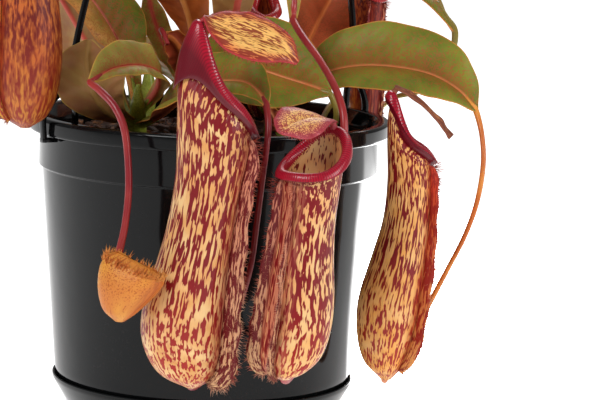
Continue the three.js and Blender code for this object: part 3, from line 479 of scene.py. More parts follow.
@dataclass(frozen=True)
class LeafSkin(Finish):
    """Leathery leaf skin with a waxy gloss. The upper face is stippled red towards the rib and
    the root, the lower face is dull red-brown, and the rib and the margin show as pale lines.

    Attributes:
        top: the upper face.
        shade: the darker patches on it.
        half: the upper face on the left of the rib, where it is another colour.
        flush: the stipple of warm dots.
        rib: the rib.
        margin: the line along the edge.
        under: the lower face.
        under_shade: its darker patches.
        veins: how strongly the side veins show.
    """

    top: str = "#82882a"
    shade: str = "#5c6c1e"
    half: str = ""
    flush: str = "#a4522c"
    rib: str = "#e08a58"
    margin: str = "#d8893c"
    under: str = "#a4502e"
    under_shade: str = "#7a3a24"
    veins: float = 0.12

    def surface(self, add: Adder) -> Surface:
        """Patches, stipple, side veins, rib and margin from the blade's own coordinates.

        The attribute 'leaf' holds the share across, from -1 to 1, the share along and 1 on the
        upper face; 'flat' holds the millimetres across, along and in from the edge.
        """
        share, run, is_top = parts_of(add, "leaf")
        aside, travelled, inset = parts_of(add, "flat")
        across = add("Math", [share], operation="ABSOLUTE")
        far = add("Math", [aside], operation="ABSOLUTE")
        place = add("TexCoord").outputs["Object"]
        broad = add("TexNoise", {"Vector": place, "Scale": 60.0, "Detail": 4.0, "Roughness": 0.6})
        fine = add("TexNoise", {"Vector": place, "Scale": 1300.0, "Detail": 2.0})
        patches = add("ValToRGB", [broad], [(0.36, 0.0), (0.68, 1.0)])
        slant = add("Math", [far, -0.75, travelled], operation="MULTIPLY_ADD")
        row = add("CombineXYZ", [slant, 0.0, 0.0])
        veins = add("TexWave", {"Vector": row, "Scale": 0.055, "Distortion": 0.6},
                    wave_profile="SIN").outputs[1]
        lines = add("ValToRGB", [veins], [(0.82, 0.0), (0.98, 1.0)])
        faint = add("Math", [lines, self.veins], operation="MULTIPLY")
        side = add("MapRange", [share, -0.05, 0.05])
        by_rib = add("MapRange", [across, 0.0, 0.8, 0.2, 0.0])
        by_root = add("MapRange", [run, 0.0, 0.5, 0.08, 0.0])
        warm = add("Math", [by_rib, by_root], operation="ADD")
        dots = add("Math", [fine, warm], operation="ADD")
        stipple = add("MapRange", [dots, 0.5, 0.7, 0.0, 0.72])
        rib = add("MapRange", [far, 0.6, 1.5, 0.9, 0.0])
        edge = add("MapRange", [inset, 0.1, 0.6, 0.75, 0.0])
        lower = add("Mix", {SHARE: patches, FIRST: self.under, SECOND: self.under_shade}, data_type="RGBA")
        colour = self.top
        for mask, over in ((side, self.half or self.top), (patches, self.shade), (stipple, self.flush)):
            colour = add("Mix", {SHARE: mask, FIRST: colour, SECOND: over}, data_type="RGBA")
        colour = add("Mix", {SHARE: is_top, FIRST: lower, SECOND: colour}, data_type="RGBA")
        for mask, over in ((faint, self.flush), (rib, self.rib), (edge, self.margin)):
            colour = add("Mix", {SHARE: mask, FIRST: colour, SECOND: over}, data_type="RGBA")
        return colour, add("Math", [fine, 0.2, veins], operation="MULTIPLY_ADD"), 0.15


@dataclass(frozen=True)
class TendrilSkin(Finish):
    """The smooth cord-like end of a leaf: red where the sun reaches it, paler between.

    Attributes:
        red: its main colour.
        pale: the paler stretches.
    """

    red: str = "#a8302e"
    pale: str = "#c86a3c"

    def surface(self, add: Adder) -> Surface:
        """Soft patches of the two colours, 15 mm across, with a 1 mm grain in the relief."""
        place = add("TexCoord").outputs["Object"]
        broad = add("TexNoise", {"Vector": place, "Scale": 60.0, "Detail": 3.0})
        fine = add("TexNoise", {"Vector": place, "Scale": 900.0, "Detail": 2.0})
        return add("ValToRGB", [broad], [(0.4, self.red), (0.7, self.pale)]), fine, 0.1


@dataclass(frozen=True)
class PitcherSkin(Finish):
    """Waxy pitcher wall: a pale ground with dark red marks that run up it. They are short and
    apart near the foot, long and run together near the mouth, a fine mesh beside the wings, and
    a few dark flecks inside.

    Attributes:
        low: the ground near the foot.
        high: the ground near the mouth.
        pale: the lightest patches of the ground.
        streak: the marks.
        deep: the marks near the mouth.
        mesh: the ground of the fine mesh beside the wings.
        cover: how much of the wall is marked, from 0 to 1.
        size: the marks' width in millimetres.
        soft_edge: how softly the marks end.
        squeeze: the width of a mark near the mouth against its length.
    """

    low: str = "#d89850"
    high: str = "#e4a262"
    pale: str = "#eec488"
    streak: str = "#aa2014"
    deep: str = "#7e1018"
    mesh: str = "#c8785a"
    cover: float = 0.5
    size: float = 0.86
    soft_edge: float = 0.02
    squeeze: float = 0.15

    def surface(self, add: Adder) -> Surface:
        """Noise stretched up the wall and cut at a level that follows the height.

        The attribute 'wall' holds millimetres round the wall as cos and sin, and up it; 'place'
        holds the share up the wall, the share round it from the front and 1 on the inside.
        """
        wall = add("Attribute", attribute_name="wall").outputs["Vector"]
        height, around, inside = parts_of(add, "place")
        short, long, grain = (add("VectorMath", [wall, (1.0, 1.0, squeeze)], operation="MULTIPLY")
                              for squeeze in (0.24, self.squeeze, 0.14))
        scale = 0.95 / self.size
        flecks = add("TexNoise", {"Vector": short, "Scale": scale, "Detail": 1.0, "Distortion": 0.2})
        streaks = add("TexNoise", {"Vector": long, "Scale": scale, "Detail": 1.6, "Distortion": 0.25})
        fine = add("TexNoise", {"Vector": grain, "Scale": 1.15, "Detail": 2.0})
        broad = add("TexNoise", {"Vector": wall, "Scale": 0.09, "Detail": 2.0})
        up = add("MapRange", [height, 0.15, 0.5])
        outside = add("Math", [1.0, inside], operation="SUBTRACT")
        run_up = add("Math", [up, outside], operation="MULTIPLY")
        marks = add("Mix", {0: run_up, 2: flecks, 3: streaks}, data_type="FLOAT")
        level = add("MapRange", [height, 0.0, 0.95, 0.525 - 0.14 * self.cover, 0.448 - 0.12 * self.cover])
        drift = add("Math", [broad, 0.14, level], operation="MULTIPLY_ADD")
        held = add("Math", [inside, 0.15, drift], operation="MULTIPLY_ADD")
        over = add("Math", [marks, held], operation="SUBTRACT")
        mask = add("MapRange", [over, 0.0, self.soft_edge])
        halo = add("MapRange", [over, -0.05, 0.01, 0.0, 0.5])
        patch = add("MapRange", [broad, 0.4, 0.66])
        turned = add("Math", [around, 0.5], operation="SUBTRACT")
        behind = add("Math", [turned], operation="ABSOLUTE")
        by_wing = add("MapRange", [behind, 0.35, 0.43])
        threads = add("MapRange", [fine, 0.46, 0.53])
        red = add("Mix", {SHARE: up, FIRST: self.streak, SECOND: self.deep}, data_type="RGBA")
        net = add("Mix", {SHARE: threads, FIRST: self.mesh, SECOND: self.deep}, data_type="RGBA")
        colour = self.low
        for share, top in ((height, self.high), (patch, self.pale), (halo, self.mesh), (mask, red),
                           (by_wing, net)):
            colour = add("Mix", {SHARE: share, FIRST: colour, SECOND: top}, data_type="RGBA")
        return colour, fine, 0.25


@dataclass(frozen=True)
class WingSkin(Finish):
    """The thin wing up a pitcher's front: dense fine flecks on tan, redder towards the mouth.

    Attributes:
        low: its ground near the foot.
        high: its ground near the mouth.
        fleck: the flecks.
    """

    low: str = "#dcae80"
    high: str = "#d08468"
    fleck: str = "#6c1216"

    def surface(self, add: Adder) -> Surface:
        """Noise of 0.9 mm flecks over the two grounds; see PitcherSkin for the attributes."""
        wall = add("Attribute", attribute_name="wall").outputs["Vector"]
        long = add("VectorMath", [wall, (1.0, 1.0, 0.25)], operation="MULTIPLY")
        fine = add("TexNoise", {"Vector": long, "Scale": 1.1, "Detail": 2.0})
        rise = add("MapRange", [parts_of(add, "place")[0], 0.15, 0.7])
        ground = add("Mix", {SHARE: rise, FIRST: self.low, SECOND: self.high}, data_type="RGBA")
        mask = add("MapRange", [fine, 0.44, 0.5])
        colour = add("Mix", {SHARE: mask, FIRST: ground, SECOND: self.fleck}, data_type="RGBA")
        return colour, fine, 0.3


@dataclass(frozen=True)
class CollarSkin(Finish):
    """The wet-looking ribbed collar round the mouth: crimson, with painted shade darkening the grooves
    and maroon where it rolls under, with a clear film that gives it two long highlights.

    Attributes:
        crest: the ribs.
        groove_shade_and_stain: the painted shade between the ribs, also the colour of the darker patches.
        roll: the outer side, where it rolls under.
    """

    crest: str = "#ae0e2a"
    groove_shade_and_stain: str = "#780a1e"
    roll: str = "#560816"

    def surface(self, add: Adder) -> Surface:
        """Crest colour and painted shade in the grooves from the rib's own share, and darker uneven patches of
        6 mm.

        The attribute 'rib' holds the height on the rib from 0 to 1, the share round the mouth
        and the share round the roll, from the inner edge over the crest to the outer edge.
        """
        height, _, around = parts_of(add, "rib")
        place = add("TexCoord").outputs["Object"]
        broad = add("TexNoise", {"Vector": place, "Scale": 160.0, "Detail": 3.0})
        stain = add("MapRange", [broad, 0.5, 0.72, 0.0, 0.6])
        rolled = add("MapRange", [around, 0.48, 0.6, 0.0, 0.85])
        # Painted shade: the colour between the ribs darkens the grooves, and the same colour makes the darker
        # patches.
        colour = self.groove_shade_and_stain
        for share, over in ((height, self.crest), (stain, self.groove_shade_and_stain), (rolled, self.roll)):
            colour = add("Mix", {SHARE: share, FIRST: colour, SECOND: over}, data_type="RGBA")
        return colour, None, 0.0


@dataclass(frozen=True)
class LidSkin(Finish):
    """The lid's thin blade: a yellow to orange ground with red-brown strokes along it.

    Attributes:
        near: the ground by its edge.
        far: the ground in its middle.
        stroke: the strokes.
        edge: the band along its edge.
        cover: how much of it is stroked, from 0 to 1.
        size: the strokes' width in millimetres.
        stretch: the strokes' length against their width.
    """

    near: str = "#dc6c3c"
    far: str = "#f4bc68"
    stroke: str = "#80160f"
    edge: str = "#b83038"
    cover: float = 0.5
    size: float = 0.42
    stretch: float = 8.0

    def surface(self, add: Adder) -> Surface:
        """Noise stretched along the lid, cut to strokes that crowd at the edge; see LeafSkin."""
        _, run, is_top = parts_of(add, "leaf")
        aside, travelled, inset = parts_of(add, "flat")
        seeded = add("CombineXYZ", [aside, travelled, is_top])
        long = add("VectorMath", [seeded, (1.0, 1.0 / self.stretch, 9.0)], operation="MULTIPLY")
        marks = add("TexNoise", {"Vector": long, "Scale": 1.0 / self.size, "Detail": 1.5, "Distortion": 0.4})
        bold = add("TexNoise", {"Vector": long, "Scale": 0.3 / self.size, "Detail": 2.0})
        total = marks
        for more in ([run, 0.05, 0.35, 0.1, 0.0], [inset, 0.3, 4.0, 0.16, 0.0], [bold, 0.5, 0.7, 0.0, 0.14]):
            total = add("Math", [total, add("MapRange", more)], operation="ADD")
        level = 0.59 - 0.16 * self.cover
        mask = add("MapRange", [total, level, level + 0.09, 0.0, 0.9])
        middle = add("MapRange", [inset, 1.0, 5.0])
        rim = add("MapRange", [inset, 0.2, 1.1, 0.9, 0.0])
        colour = self.near
        for share, over in ((middle, self.far), (mask, self.stroke), (rim, self.edge)):
            colour = add("Mix", {SHARE: share, FIRST: colour, SECOND: over}, data_type="RGBA")
        return colour, marks, 0.2


BLACK_PLASTIC = MouldedPlastic("moulded_polypropylene", roughness=0.1, shine=0.2)
SOIL_MIX = PottingMix("damp_potting_mix", roughness=0.95)
BARK = PottingMix("composted_bark", roughness=0.85, dark="#2a170e", light="#8a5c38", crumb=5.0)
PERLITE = PottingMix("expanded_perlite", roughness=0.9, dark="#b8b0a4", light="#e8e4dc", crumb=1.5)
BUD_SKIN = LeafSkin("lime_bud_skin", roughness=0.42, coat=0.1, soft=0.1, top="#94a838", shade="#78882c",
                    half="#82882a", flush="#a0a840", rib="#a8b048", margin="#a8b048")

SMOOTH = {"roughness": 0.38, "coat": 0.2, "soft": 0.1}
RED_TENDRIL = TendrilSkin("red_tendril_skin", **SMOOTH, red="#86141f", pale="#a2322e")
GOLD_TENDRIL = TendrilSkin("golden_tendril_skin", **SMOOTH, red="#c86a28", pale="#e89a40")
PINK_TENDRIL = TendrilSkin("pink_tendril_skin", **SMOOTH, red="#8e1620", pale="#a83430")
OLIVE_TENDRIL = TendrilSkin("olive_tendril_skin", roughness=0.4, coat=0.15, soft=0.1, red="#7a7030",
                            pale="#a08a3c")
HAIR = TendrilSkin("red_plant_hair", roughness=0.6, red="#8a2a22", pale="#b8543c")
PALE_HAIR = TendrilSkin("pale_plant_hair", roughness=0.6, red="#b0604c", pale="#e4b896")
YOUNG_HAIR = TendrilSkin("orange_plant_hair", roughness=0.6, red="#cc6e2c", pale="#eaa050")

WAXY = {"coat": 0.05, "soft": 0.06}
CREAM_WALL = PitcherSkin("cream_pitcher_wall", roughness=0.38, **WAXY)
BOLD_WALL = PitcherSkin("bold_streaked_pitcher_wall", roughness=0.38, **WAXY, low="#eeb468", high="#eaaa70",
                        streak="#a81c10", cover=0.6, size=1.05, squeeze=0.28)
GOLD_WALL = PitcherSkin("golden_pitcher_wall", roughness=0.4, **WAXY, low="#eaa040", high="#eeae64",
                        pale="#f2bc78", mesh="#c0502e", streak="#a42412", cover=0.4, size=0.8)
RUSSET_WALL = PitcherSkin("russet_pitcher_wall", roughness=0.42, **WAXY, low="#cc8430", high="#b04420",
                          pale="#c06026", mesh="#8c2c18", streak="#962a14", deep="#64140e", cover=0.95,
                          size=1.1, soft_edge=0.14, squeeze=0.4)
YOUNG_WALL = PitcherSkin("young_pitcher_wall", roughness=0.5, soft=0.12, low="#c8702a", high="#d8883a",
                         pale="#e09a3c", mesh="#c46a26", streak="#a84e1c", deep="#b05a20", cover=-0.2,
                         size=0.5, soft_edge=0.1, squeeze=0.8)
TAN_WING = WingSkin("tan_wing_skin", roughness=0.55, soft=0.1)
ORANGE_WING = WingSkin("orange_wing_skin", soft=0.15, low="#e49c54", high="#c84426", fleck="#9c2418")
GOLD_WING = WingSkin("golden_wing_skin", soft=0.15, low="#e0a040", high="#d8843a", fleck="#b8503a")
CRIMSON_COLLAR = CollarSkin("crimson_collar_film", roughness=0.32, coat=0.45, shine=0.2)
RED_COLLAR = CollarSkin("red_collar_film", roughness=0.22, coat=0.5, crest="#b8282c", groove_shade_and_stain="#84181c",
                        roll="#5a1014")
SUN_LID = LidSkin("yellow_stroked_lid", roughness=0.45, coat=0.08, soft=0.12)
PINK_LID = LidSkin("pink_speckled_lid", roughness=0.45, coat=0.08, soft=0.12, near="#cc6460", far="#f0b868",
                   stroke="#981c34", edge="#b03c44", cover=0.6, size=0.5, stretch=1.4)
DRY_LID = LidSkin("dried_brown_lid", roughness=0.6, near="#a8683c", far="#96583a", stroke="#6a3020",
                  edge="#8a4a30", size=0.4)
RUSSET_LID = LidSkin("russet_lid", roughness=0.45, coat=0.08, soft=0.1, near="#b8542c", far="#c87a3a",
                     stroke="#7a2420", edge="#8a2a1c", size=0.8)


class LeafKind(Enum):
    """The leaves' ages and the faces they show, each with its skin."""

    GREEN = LeafSkin("green_leaf_skin", soft=0.08, shine=0.22)
    SUNNY = replace(GREEN, name="sunlit_leaf_skin", half="#dc9c50", rib="#e08070")
    OLIVE = LeafSkin("olive_leaf_skin", soft=0.08, shine=0.2, top="#a09440", shade="#7c7430", flush="#a85a34",
                     rib="#cc5448", margin="#c89440", under="#b08c50", under_shade="#946444")
    DULL = replace(OLIVE, name="dull_leaf_underside", rib="#94703c", margin="#b09440", under="#a07e44",
                   under_shade="#946040")
    RUSSET = LeafSkin("russet_leaf_skin", soft=0.08, shine=0.2, top="#a8552e", shade="#84401f", flush="#b8502c",
                      rib="#d8783c", margin="#c87a34", under="#b0482a", under_shade="#7c3420")
    ORANGE = LeafSkin("orange_leaf_skin", soft=0.1, shine=0.2, top="#cc7a30", shade="#a85c24", flush="#c8602c",
                      rib="#e89a50", margin="#d8903c", under="#c46a2c", under_shade="#98481e")

    @property
    def slot(self) -> str:
        """The record's material slot of such a leaf."""
        return {"SUNNY": "green_leaf", "DULL": "olive_leaf"}.get(self.name, f"{self.name.lower()}_leaf")


# ---------------------------------------------------------------- leaves

BEND_STEPS = 16
RIB_BREADTH = 1.3
NEAR_RIB = (0.0, 0.04, 0.09)  # shares across that have points of their own


@dataclass(frozen=True)
class Blade:
    """A thin arched blade along rows of x, y, z, half width and the two halves' lifts in degrees.

    Attributes:
        rows: the rib's path with the blade's half width and lifts.
        azimuth: the compass way the blade grows, in degrees from +X.
        arch: how much each half bends over, in degrees.
        rib: how far the rib stands out below, at the root and at the tip.
        skin: the blade's thickness.
        shares: each half's share of the half width.
        ripple: how far the margin waves up and down.
        waves: how many waves run along the margin.
        seed: where the waves start.
    """

    rows: Rows
    azimuth: float
    arch: float = 12.0
    rib: tuple[float, float] = (1.9, 1.0)
    skin: float = 0.7
    shares: tuple[float, float] = (1.0, 1.0)
    ripple: float = 0.9
    waves: float = 4.5
    seed: int = 0

    def points(self, t: np.ndarray, a: np.ndarray) -> tuple[np.ndarray, np.ndarray, np.ndarray]:
        """Middle surface of the blade at each share along and across.

        Across each half the surface sets out at lift plus twice the arch and bends evenly to
        lift minus twice the arch; its point is the running sum of those directions over the
        half width. The margin's wave is ripple times share squared times a sine along the rib.

        Args:
            t: shares along, from 0 to 1.
            a: shares across, from -1 at the right margin to 1 at the left one.

        Returns:
            The points, the unit normals, and the half widths with the halves' shares in them.
        """
        values = along(self.rows, t)
        ahead = heading(self.rows, t)
        aim = math.radians(self.azimuth)
        left = np.array([-math.sin(aim), math.cos(aim), 0.0])
        side = unit(left - ahead * (ahead @ left)[:, None])
        up = np.cross(ahead, side)
        sign = np.where(a < 0, -1.0, 1.0)
        share = np.abs(a)
        lift = np.where(sign > 0, values[:, 4:5], values[:, 5:6])
        wide = np.abs(values[:, 3:4]) * np.where(sign > 0, self.shares[0], self.shares[1])
        steps = (np.arange(BEND_STEPS) + 0.5) / BEND_STEPS
        angle = np.radians(lift[..., None] + 2 * self.arch * (1 - 2 * share[None, :, None] * steps))
        out = wide * share * np.cos(angle).mean(axis=-1)
        rise = wide * share * np.sin(angle).mean(axis=-1)
        ends = np.radians(lift + 2 * self.arch * (1 - 2 * share))
        wave = np.sin(FULL_TURN * self.waves * t + 1.7 * self.seed)[:, None]
        wave2 = np.sin(FULL_TURN * (self.waves * 1.7) * t + 0.9 * self.seed + 2)[:, None]
        body = np.sin(math.pi * np.clip(t, 0, 1))[:, None] ** 0.6
        swell = self.ripple * body * share ** 2 * (0.7 * wave * sign + 0.4 * wave2)
        points = values[:, None, :3] + side[:, None] * (sign * out)[..., None] + up[:, None] * rise[..., None]
        normal = up[:, None] * np.cos(ends)[..., None] - side[:, None] * (sign * np.sin(ends))[..., None]
        return points + normal * swell[..., None], normal, wide

    def add_to(self, mould: Mould, finish: int, steps: int = 44, across: int = 12,
               start: float = 0.015) -> None:
        """Adds the blade as a closed sheet with a raised rib under it.

        The two faces lie half the skin from the middle surface, less towards the margin. The
        rib follows a bell curve 1.3 mm wide: 0.8 of it stands out below and 0.12 above.

        Args:
            mould: where it goes.
            finish: the number of its material.
            steps: stretches along it.
            across: stretches across each half.
            start: the share along at which it sets out.
        """
        t = start + (1 - start) * np.linspace(0, 1, steps + 1)
        edge = np.sin(np.linspace(0, math.pi / 2, across + 1)) ** 0.9
        half = np.unique(np.concatenate([NEAR_RIB, edge]))
        a = np.concatenate([-half[::-1], half[1:]])
        points, normal, wide = self.points(t, a)
        far = np.abs(a) * wide
        thin = 0.5 * self.skin * (1 - 0.55 * np.abs(a) ** 4)[None, :, None]
        deep = (self.rib[0] + (self.rib[1] - self.rib[0]) * t)[:, None]
        keel = (deep * np.exp(-(far / RIB_BREADTH) ** 2))[..., None]
        top = points + normal * (thin + 0.12 * keel)
        bottom = points - normal * (thin + 0.8 * keel)
        rings = np.concatenate([top, bottom[:, ::-1]], axis=1)
        leaf = [triples(a, t[:, None], face) for face in (1.0, 0.0)]
        flat = triples(a * wide, length_along(self.rows, t)[:, None], wide * (1 - np.abs(a)))
        mould.add_rings(rings, finish, leaf=np.concatenate([leaf[0], leaf[1][:, ::-1]], axis=1),
                        flat=np.concatenate([flat, flat[:, ::-1]], axis=1))

    def fringe(self, count: int, long: float, seed: int) -> tuple[np.ndarray, np.ndarray, np.ndarray]:
        """Roots, directions and lengths of hairs along both margins.

        Args:
            count: hairs on each margin.
            long: their greatest length.
            seed: the draw of their places.

        Returns:
            Roots, unit directions and lengths.
        """
        draw = np.random.default_rng(seed)
        t = np.sort(draw.uniform(0.08, 0.99, count))
        a = np.array([-1.0, -0.9, 0.9, 1.0])
        points, _, _ = self.points(t, a)
        roots = np.concatenate([points[:, 0], points[:, 3]])
        outward = np.concatenate([unit(points[:, 0] - points[:, 1]), unit(points[:, 3] - points[:, 2])])
        ahead = np.tile(heading(self.rows, t), (2, 1))
        lean = outward + 0.45 * ahead * draw.uniform(-0.3, 1, (2 * count, 1))
        lean += 0.5 * draw.normal(0, 0.5, (2 * count, 3))
        return roots, unit(lean), long * draw.uniform(0.5, 1.0, 2 * count)


@dataclass(frozen=True)
class Leaf:
    """One leaf: its blade and, where it has one, the tendril that its rib runs out into.

    Attributes:
        name: the solid it stands for, without its leaf_ prefix.
        kind: its skin.
        azimuth: the compass way it grows.
        rows: x, y, z, half width and the two lifts.
        tendril: x, y, z and radius.
        cord: the tendril's skin.
        shares: each half's share of the half width.
        seed: its own draw.
    """

    name: str
    kind: LeafKind
    azimuth: float
    rows: Rows
    tendril: Rows = ()
    cord: TendrilSkin = RED_TENDRIL
    shares: tuple[float, float] = (1.0, 1.0)
    seed: int = 0

    def dress(self) -> bpy.types.Object:
        """Builds the leaf.

        Returns:
            The finished object.
        """
        mould = Mould()
        Blade(self.rows, self.azimuth, shares=self.shares, seed=self.seed).add_to(mould, 0)
        if self.tendril:
            root = along(self.rows, np.array([0.9, 0.95]))
            radius = self.tendril[0][3]
            rows = [[*root[0][:3], 0.8 * radius], [*root[1][:3], radius], *self.tendril]
            rings, travelled = tube(rows, 14, 9 * len(rows))
            mould.add_rings(rings, 1, flat=triples(0.0, travelled, 0.0))
        finishes = [self.kind.value.material(), self.cord.material()]
        return mould.cast(f"leaf_{self.name}_skin", finishes, [f"leaf_{self.name}"], self.kind.slot)


# ---------------------------------------------------------------- pitchers

CUP_WALL = 1.2
CUP_RADIUS = 11.0  # of the cylinder that the wall's pattern is laid out on
WING_FOOT, WING_RUN = 0.1, 0.8  # shares of the wall's height
WING_TURN = 0.46  # radians from the middle between the wings
WING_SUNK = 0.7
WING_THICK = 0.84
HAIRS_PER_MM = 1.7
PALE_BELOW = 0.55  # the share of a wing up to which its hairs are pale
RIB_APART, RIB_HIGH = 0.9, 0.14
OVER_THE_MOUTH = ((-0.6, 0.75), (0.6, 1.0), (2.3, 0.78))  # mm outwards, share of the collar's height


@dataclass(frozen=True)
class Pitcher:
    """A hanging pitcher: a hollow cup with two hairy wings, a ribbed collar and a lid.

    Attributes:
        name: the solids it stands for, without their prefixes.
        at: where its own origin lies.
        azimuth: the way its front faces, in degrees from +X.
        rows: back u and z, front u and z, and half its breadth, from its tip to its mouth.
        lid: u, v, w, half width and the two lifts, from its hinge.
        skin: its wall's skin.
        lid_skin: its lid's skin.
        collar_skin: its collar's skin.
        size: its size against the rows.
        slim: its breadth and depth against its height.
        pinch: how much narrower the back of the mouth is than the front.
        sag: how far the sides of the mouth drop.
        neck: how much more of that drop lies towards the back.
        waves: waves along each wing's edge.
        wing: the wing's height near the tip.
        wings_at: the middle between the wings, in radians from the front.
        fuzz: hairs on each wing's face.
        wing_skin: the wings' skin.
        collar: the collar's height over the mouth.
        hang: how far down the wall the collar hangs, as a share.
        roll: how much further it hangs at the back.
        hairs: hairs along each margin of the lid.
        slot: the record's material slot.
    """

    name: str
    at: tuple[float, float, float]
    azimuth: float
    rows: Rows
    lid: Rows
    skin: PitcherSkin
    lid_skin: LidSkin
    collar_skin: CollarSkin
    size: float = 1.0
    slim: float = 1.0
    pinch: float = 0.15
    sag: float = 6.0
    neck: float = 1.0
    waves: int = 5
    wing: float = 3.4
    wings_at: float = 0.0
    fuzz: int = 60
    wing_skin: Finish = TAN_WING
    collar: float = 2.4
    hang: float = 0.05
    roll: float = 0.0
    hairs: int = 0
    slot: str = "russet_pitcher"

    def placed(self, u: np.ndarray, v: np.ndarray, w: np.ndarray) -> np.ndarray:
        """Points of the pitcher's own u, v, w in the plant's x, y, z: turned, then moved."""
        x, y = spun(u, v, self.azimuth)
        return triples(self.at[0] + x, self.at[1] + y, self.at[2] + w)

    def pattern_height(self) -> float:
        """The height of the pattern's cylinder: the back's, from the tip to the mouth."""
        return self.size * (self.rows[-1][1] - self.rows[0][1])

    def wall(self, s: np.ndarray, turn: np.ndarray) -> np.ndarray:
        """Points on the outer wall.

        With c and q the cosine and sine of the turn, u and z lie between the back's and the
        front's by c, v is the breadth times q, narrowed by pinch towards the back of the mouth,
        and the sides of the mouth drop by sag times q squared, all of this by s to the fourth.

        Args:
            s: shares up the wall, from the tip to the mouth.
            turn: turns round it from the front, in radians, of the same shape.

        Returns:
            The points.
        """
        back_u, back_z, front_u, front_z, breadth = np.moveaxis(
            along(self.rows, np.ravel(s)).reshape(*np.shape(s), 5), -1, 0)
        c, q = np.cos(turn), np.sin(turn)
        rise = np.maximum(s, 0) ** 4
        girth = self.size * self.slim
        u = girth * ((back_u + front_u) / 2 + (front_u - back_u) / 2 * c)
        v = girth * breadth * q * (1 + self.pinch * rise * c)
        drop = self.sag * rise * q * q * (1 - self.neck * c)
        w = self.size * ((back_z + front_z) / 2 + (front_z - back_z) / 2 * c - drop)
        return self.placed(u, v, w)

    def wall_frame(self, s: np.ndarray, turn: np.ndarray) -> tuple[np.ndarray, np.ndarray, np.ndarray]:
        """Unit directions at points of the wall: round it, out of it and up along it.

        They come from steps of 0.004 either way in the turn and in the share up the wall.

        Args:
            s: shares up the wall.
            turn: turns round it.

        Returns:
            The three directions.
        """
        step = 0.004
        around = unit(self.wall(s, turn + step) - self.wall(s, turn - step))
        up = self.wall(np.minimum(s + step, 1), turn) - self.wall(np.maximum(s - step, 0), turn)
        out = unit(np.cross(around, up))
        return around, out, np.cross(out, around)

    def add_cup(self, mould: Mould, finish: int, around: int = 96, steps: int = 90) -> None:
        """Adds the cup: the outer wall up to the mouth, and the inner wall 1.2 mm inside it.

        Args:
            mould: where it goes.
            finish: the number of its material.
            around: points round it.
            steps: rings up the outer wall.
        """
        outer = np.linspace(0, 1, steps + 1) ** 1.1
        inner = np.linspace(1, 0.12, steps * 2 // 3)
        within = np.concatenate([np.zeros(len(outer)), np.ones(len(inner))])[:, None]
        s, turn = np.meshgrid(np.concatenate([outer, inner]), even_turns(around), indexing="ij")
        _, out, _ = self.wall_frame(s, turn)
        points = self.wall(s, turn) - out * (CUP_WALL * within)[..., None]
        wall = ring(CUP_RADIUS * self.size * self.slim, turn, self.pattern_height() * s)
        place = triples(s, ((turn - self.wings_at) / FULL_TURN) % 1, within)
        mould.add_rings(points, finish, wall=wall, place=place)

    def add_wing(self, mould: Mould, side: int, finish: int) -> None:
        """Adds one wing: a thin wavy fin up the front of the wall, with hairs along its edge.

        The fin's height is the wing's, tapered to half up the wall and faded at both ends,
        times 0.94 less 0.06 of a cosine with the given waves. The hairs stand out from the
        edge 0.6 mm apart, up to 3.5 mm long near the foot, 2.3 mm higher up and 7.8 mm by the
        mouth, and short ones stand on the fin's faces.

        Args:
            mould: where it goes.
            side: 1 or -1.
            finish: the number of its material; the pale and the red hairs have the next two.
        """
        count = 16 * self.waves
        share = np.linspace(0, 1, count + 1)
        s = WING_FOOT + WING_RUN * share
        turn = np.full_like(s, side * WING_TURN + self.wings_at)
        around, out, on = self.wall_frame(s, turn)
        lean = unit(out + around * side * 0.25)
        fade = np.minimum(1, np.minimum(0.35 + 5 * share, 0.35 + 5 * (1 - share)))
        tall = WING_SUNK + self.wing * (1 - 0.5 * share) * fade * (
            0.94 - 0.06 * np.cos(FULL_TURN * self.waves * share))
        root = self.wall(s, turn) - out * WING_SUNK
        sway = side * (0.7 * np.sin(15 * share + 2 * side) + 0.25 * np.sin(43 * share))
        sway *= min(1.0, self.wing / 8)

        def fin(i: Any, level: Any) -> np.ndarray:
            """Middle points of the fin at places along it and levels from its root to its edge."""
            return root[i] + lean[i] * level * tall[i][:, None] + around[i] * level ** 2 * sway[i][:, None]

        levels = np.array([0.0, 0.35, 0.7, 1.0])
        middle = np.stack([fin(slice(None), level) for level in levels], axis=1)
        half = around[:, None] * (WING_THICK / 2 * (1 - 0.6 * levels))[:, None]
        rings = np.concatenate([middle + half, (middle - half)[:, ::-1]], axis=1)
        levels = np.concatenate([levels, levels[::-1]])
        wall = triples(CUP_RADIUS + self.wing * levels, 5.0 * side, self.pattern_height() * s[:, None])
        mould.add_rings(rings, finish, wall=wall, place=triples(s[:, None], levels, 0.0))

        draw = np.random.default_rng(131 + side + int(self.at[0]))
        many = int(HAIRS_PER_MM * self.pattern_height() * WING_RUN)
        at = np.sort(draw.uniform(0, 1, many)) * count
        i = np.minimum(at.astype(int), count - 1)
        edge, high = middle[:, -1], share[i]
        feet = edge[i] + (edge[i + 1] - edge[i]) * (at - i)[:, None]
        ahead = unit(lean[i] + 0.3 * draw.normal(0, 1, (many, 3)) + on[i] * draw.uniform(-0.5, 0.3, (many, 1)))
        full = min(1.0, self.wing / 6) ** 0.5
        long = 2.3 + 1.2 * (1 - high) ** 2 + 5.5 * np.clip(high - 0.8, 0, 1) / 0.2
        shapes, faces = hairs(feet, ahead, full * draw.uniform(0.6, 1.0, many) * long, 0.16)
        mould.add_many(shapes[high < PALE_BELOW], faces, finish + 1)
        mould.add_many(shapes[high >= PALE_BELOW], faces, finish + 2)
        i = (draw.uniform(0, 0.75, self.fuzz) ** 1.4 * count).astype(int)
        feet = fin(i, draw.uniform(0.1, 1, self.fuzz)[:, None])
        face = draw.choice([-1.0, 1.0], (self.fuzz, 1))
        ahead = unit(around[i] * face + 0.9 * lean[i] + 0.5 * draw.normal(0, 1, (self.fuzz, 3)))
        shapes, faces = hairs(feet, ahead, draw.uniform(0.8, 1.8, self.fuzz), 0.12)
        mould.add_many(shapes, faces, finish + 1)

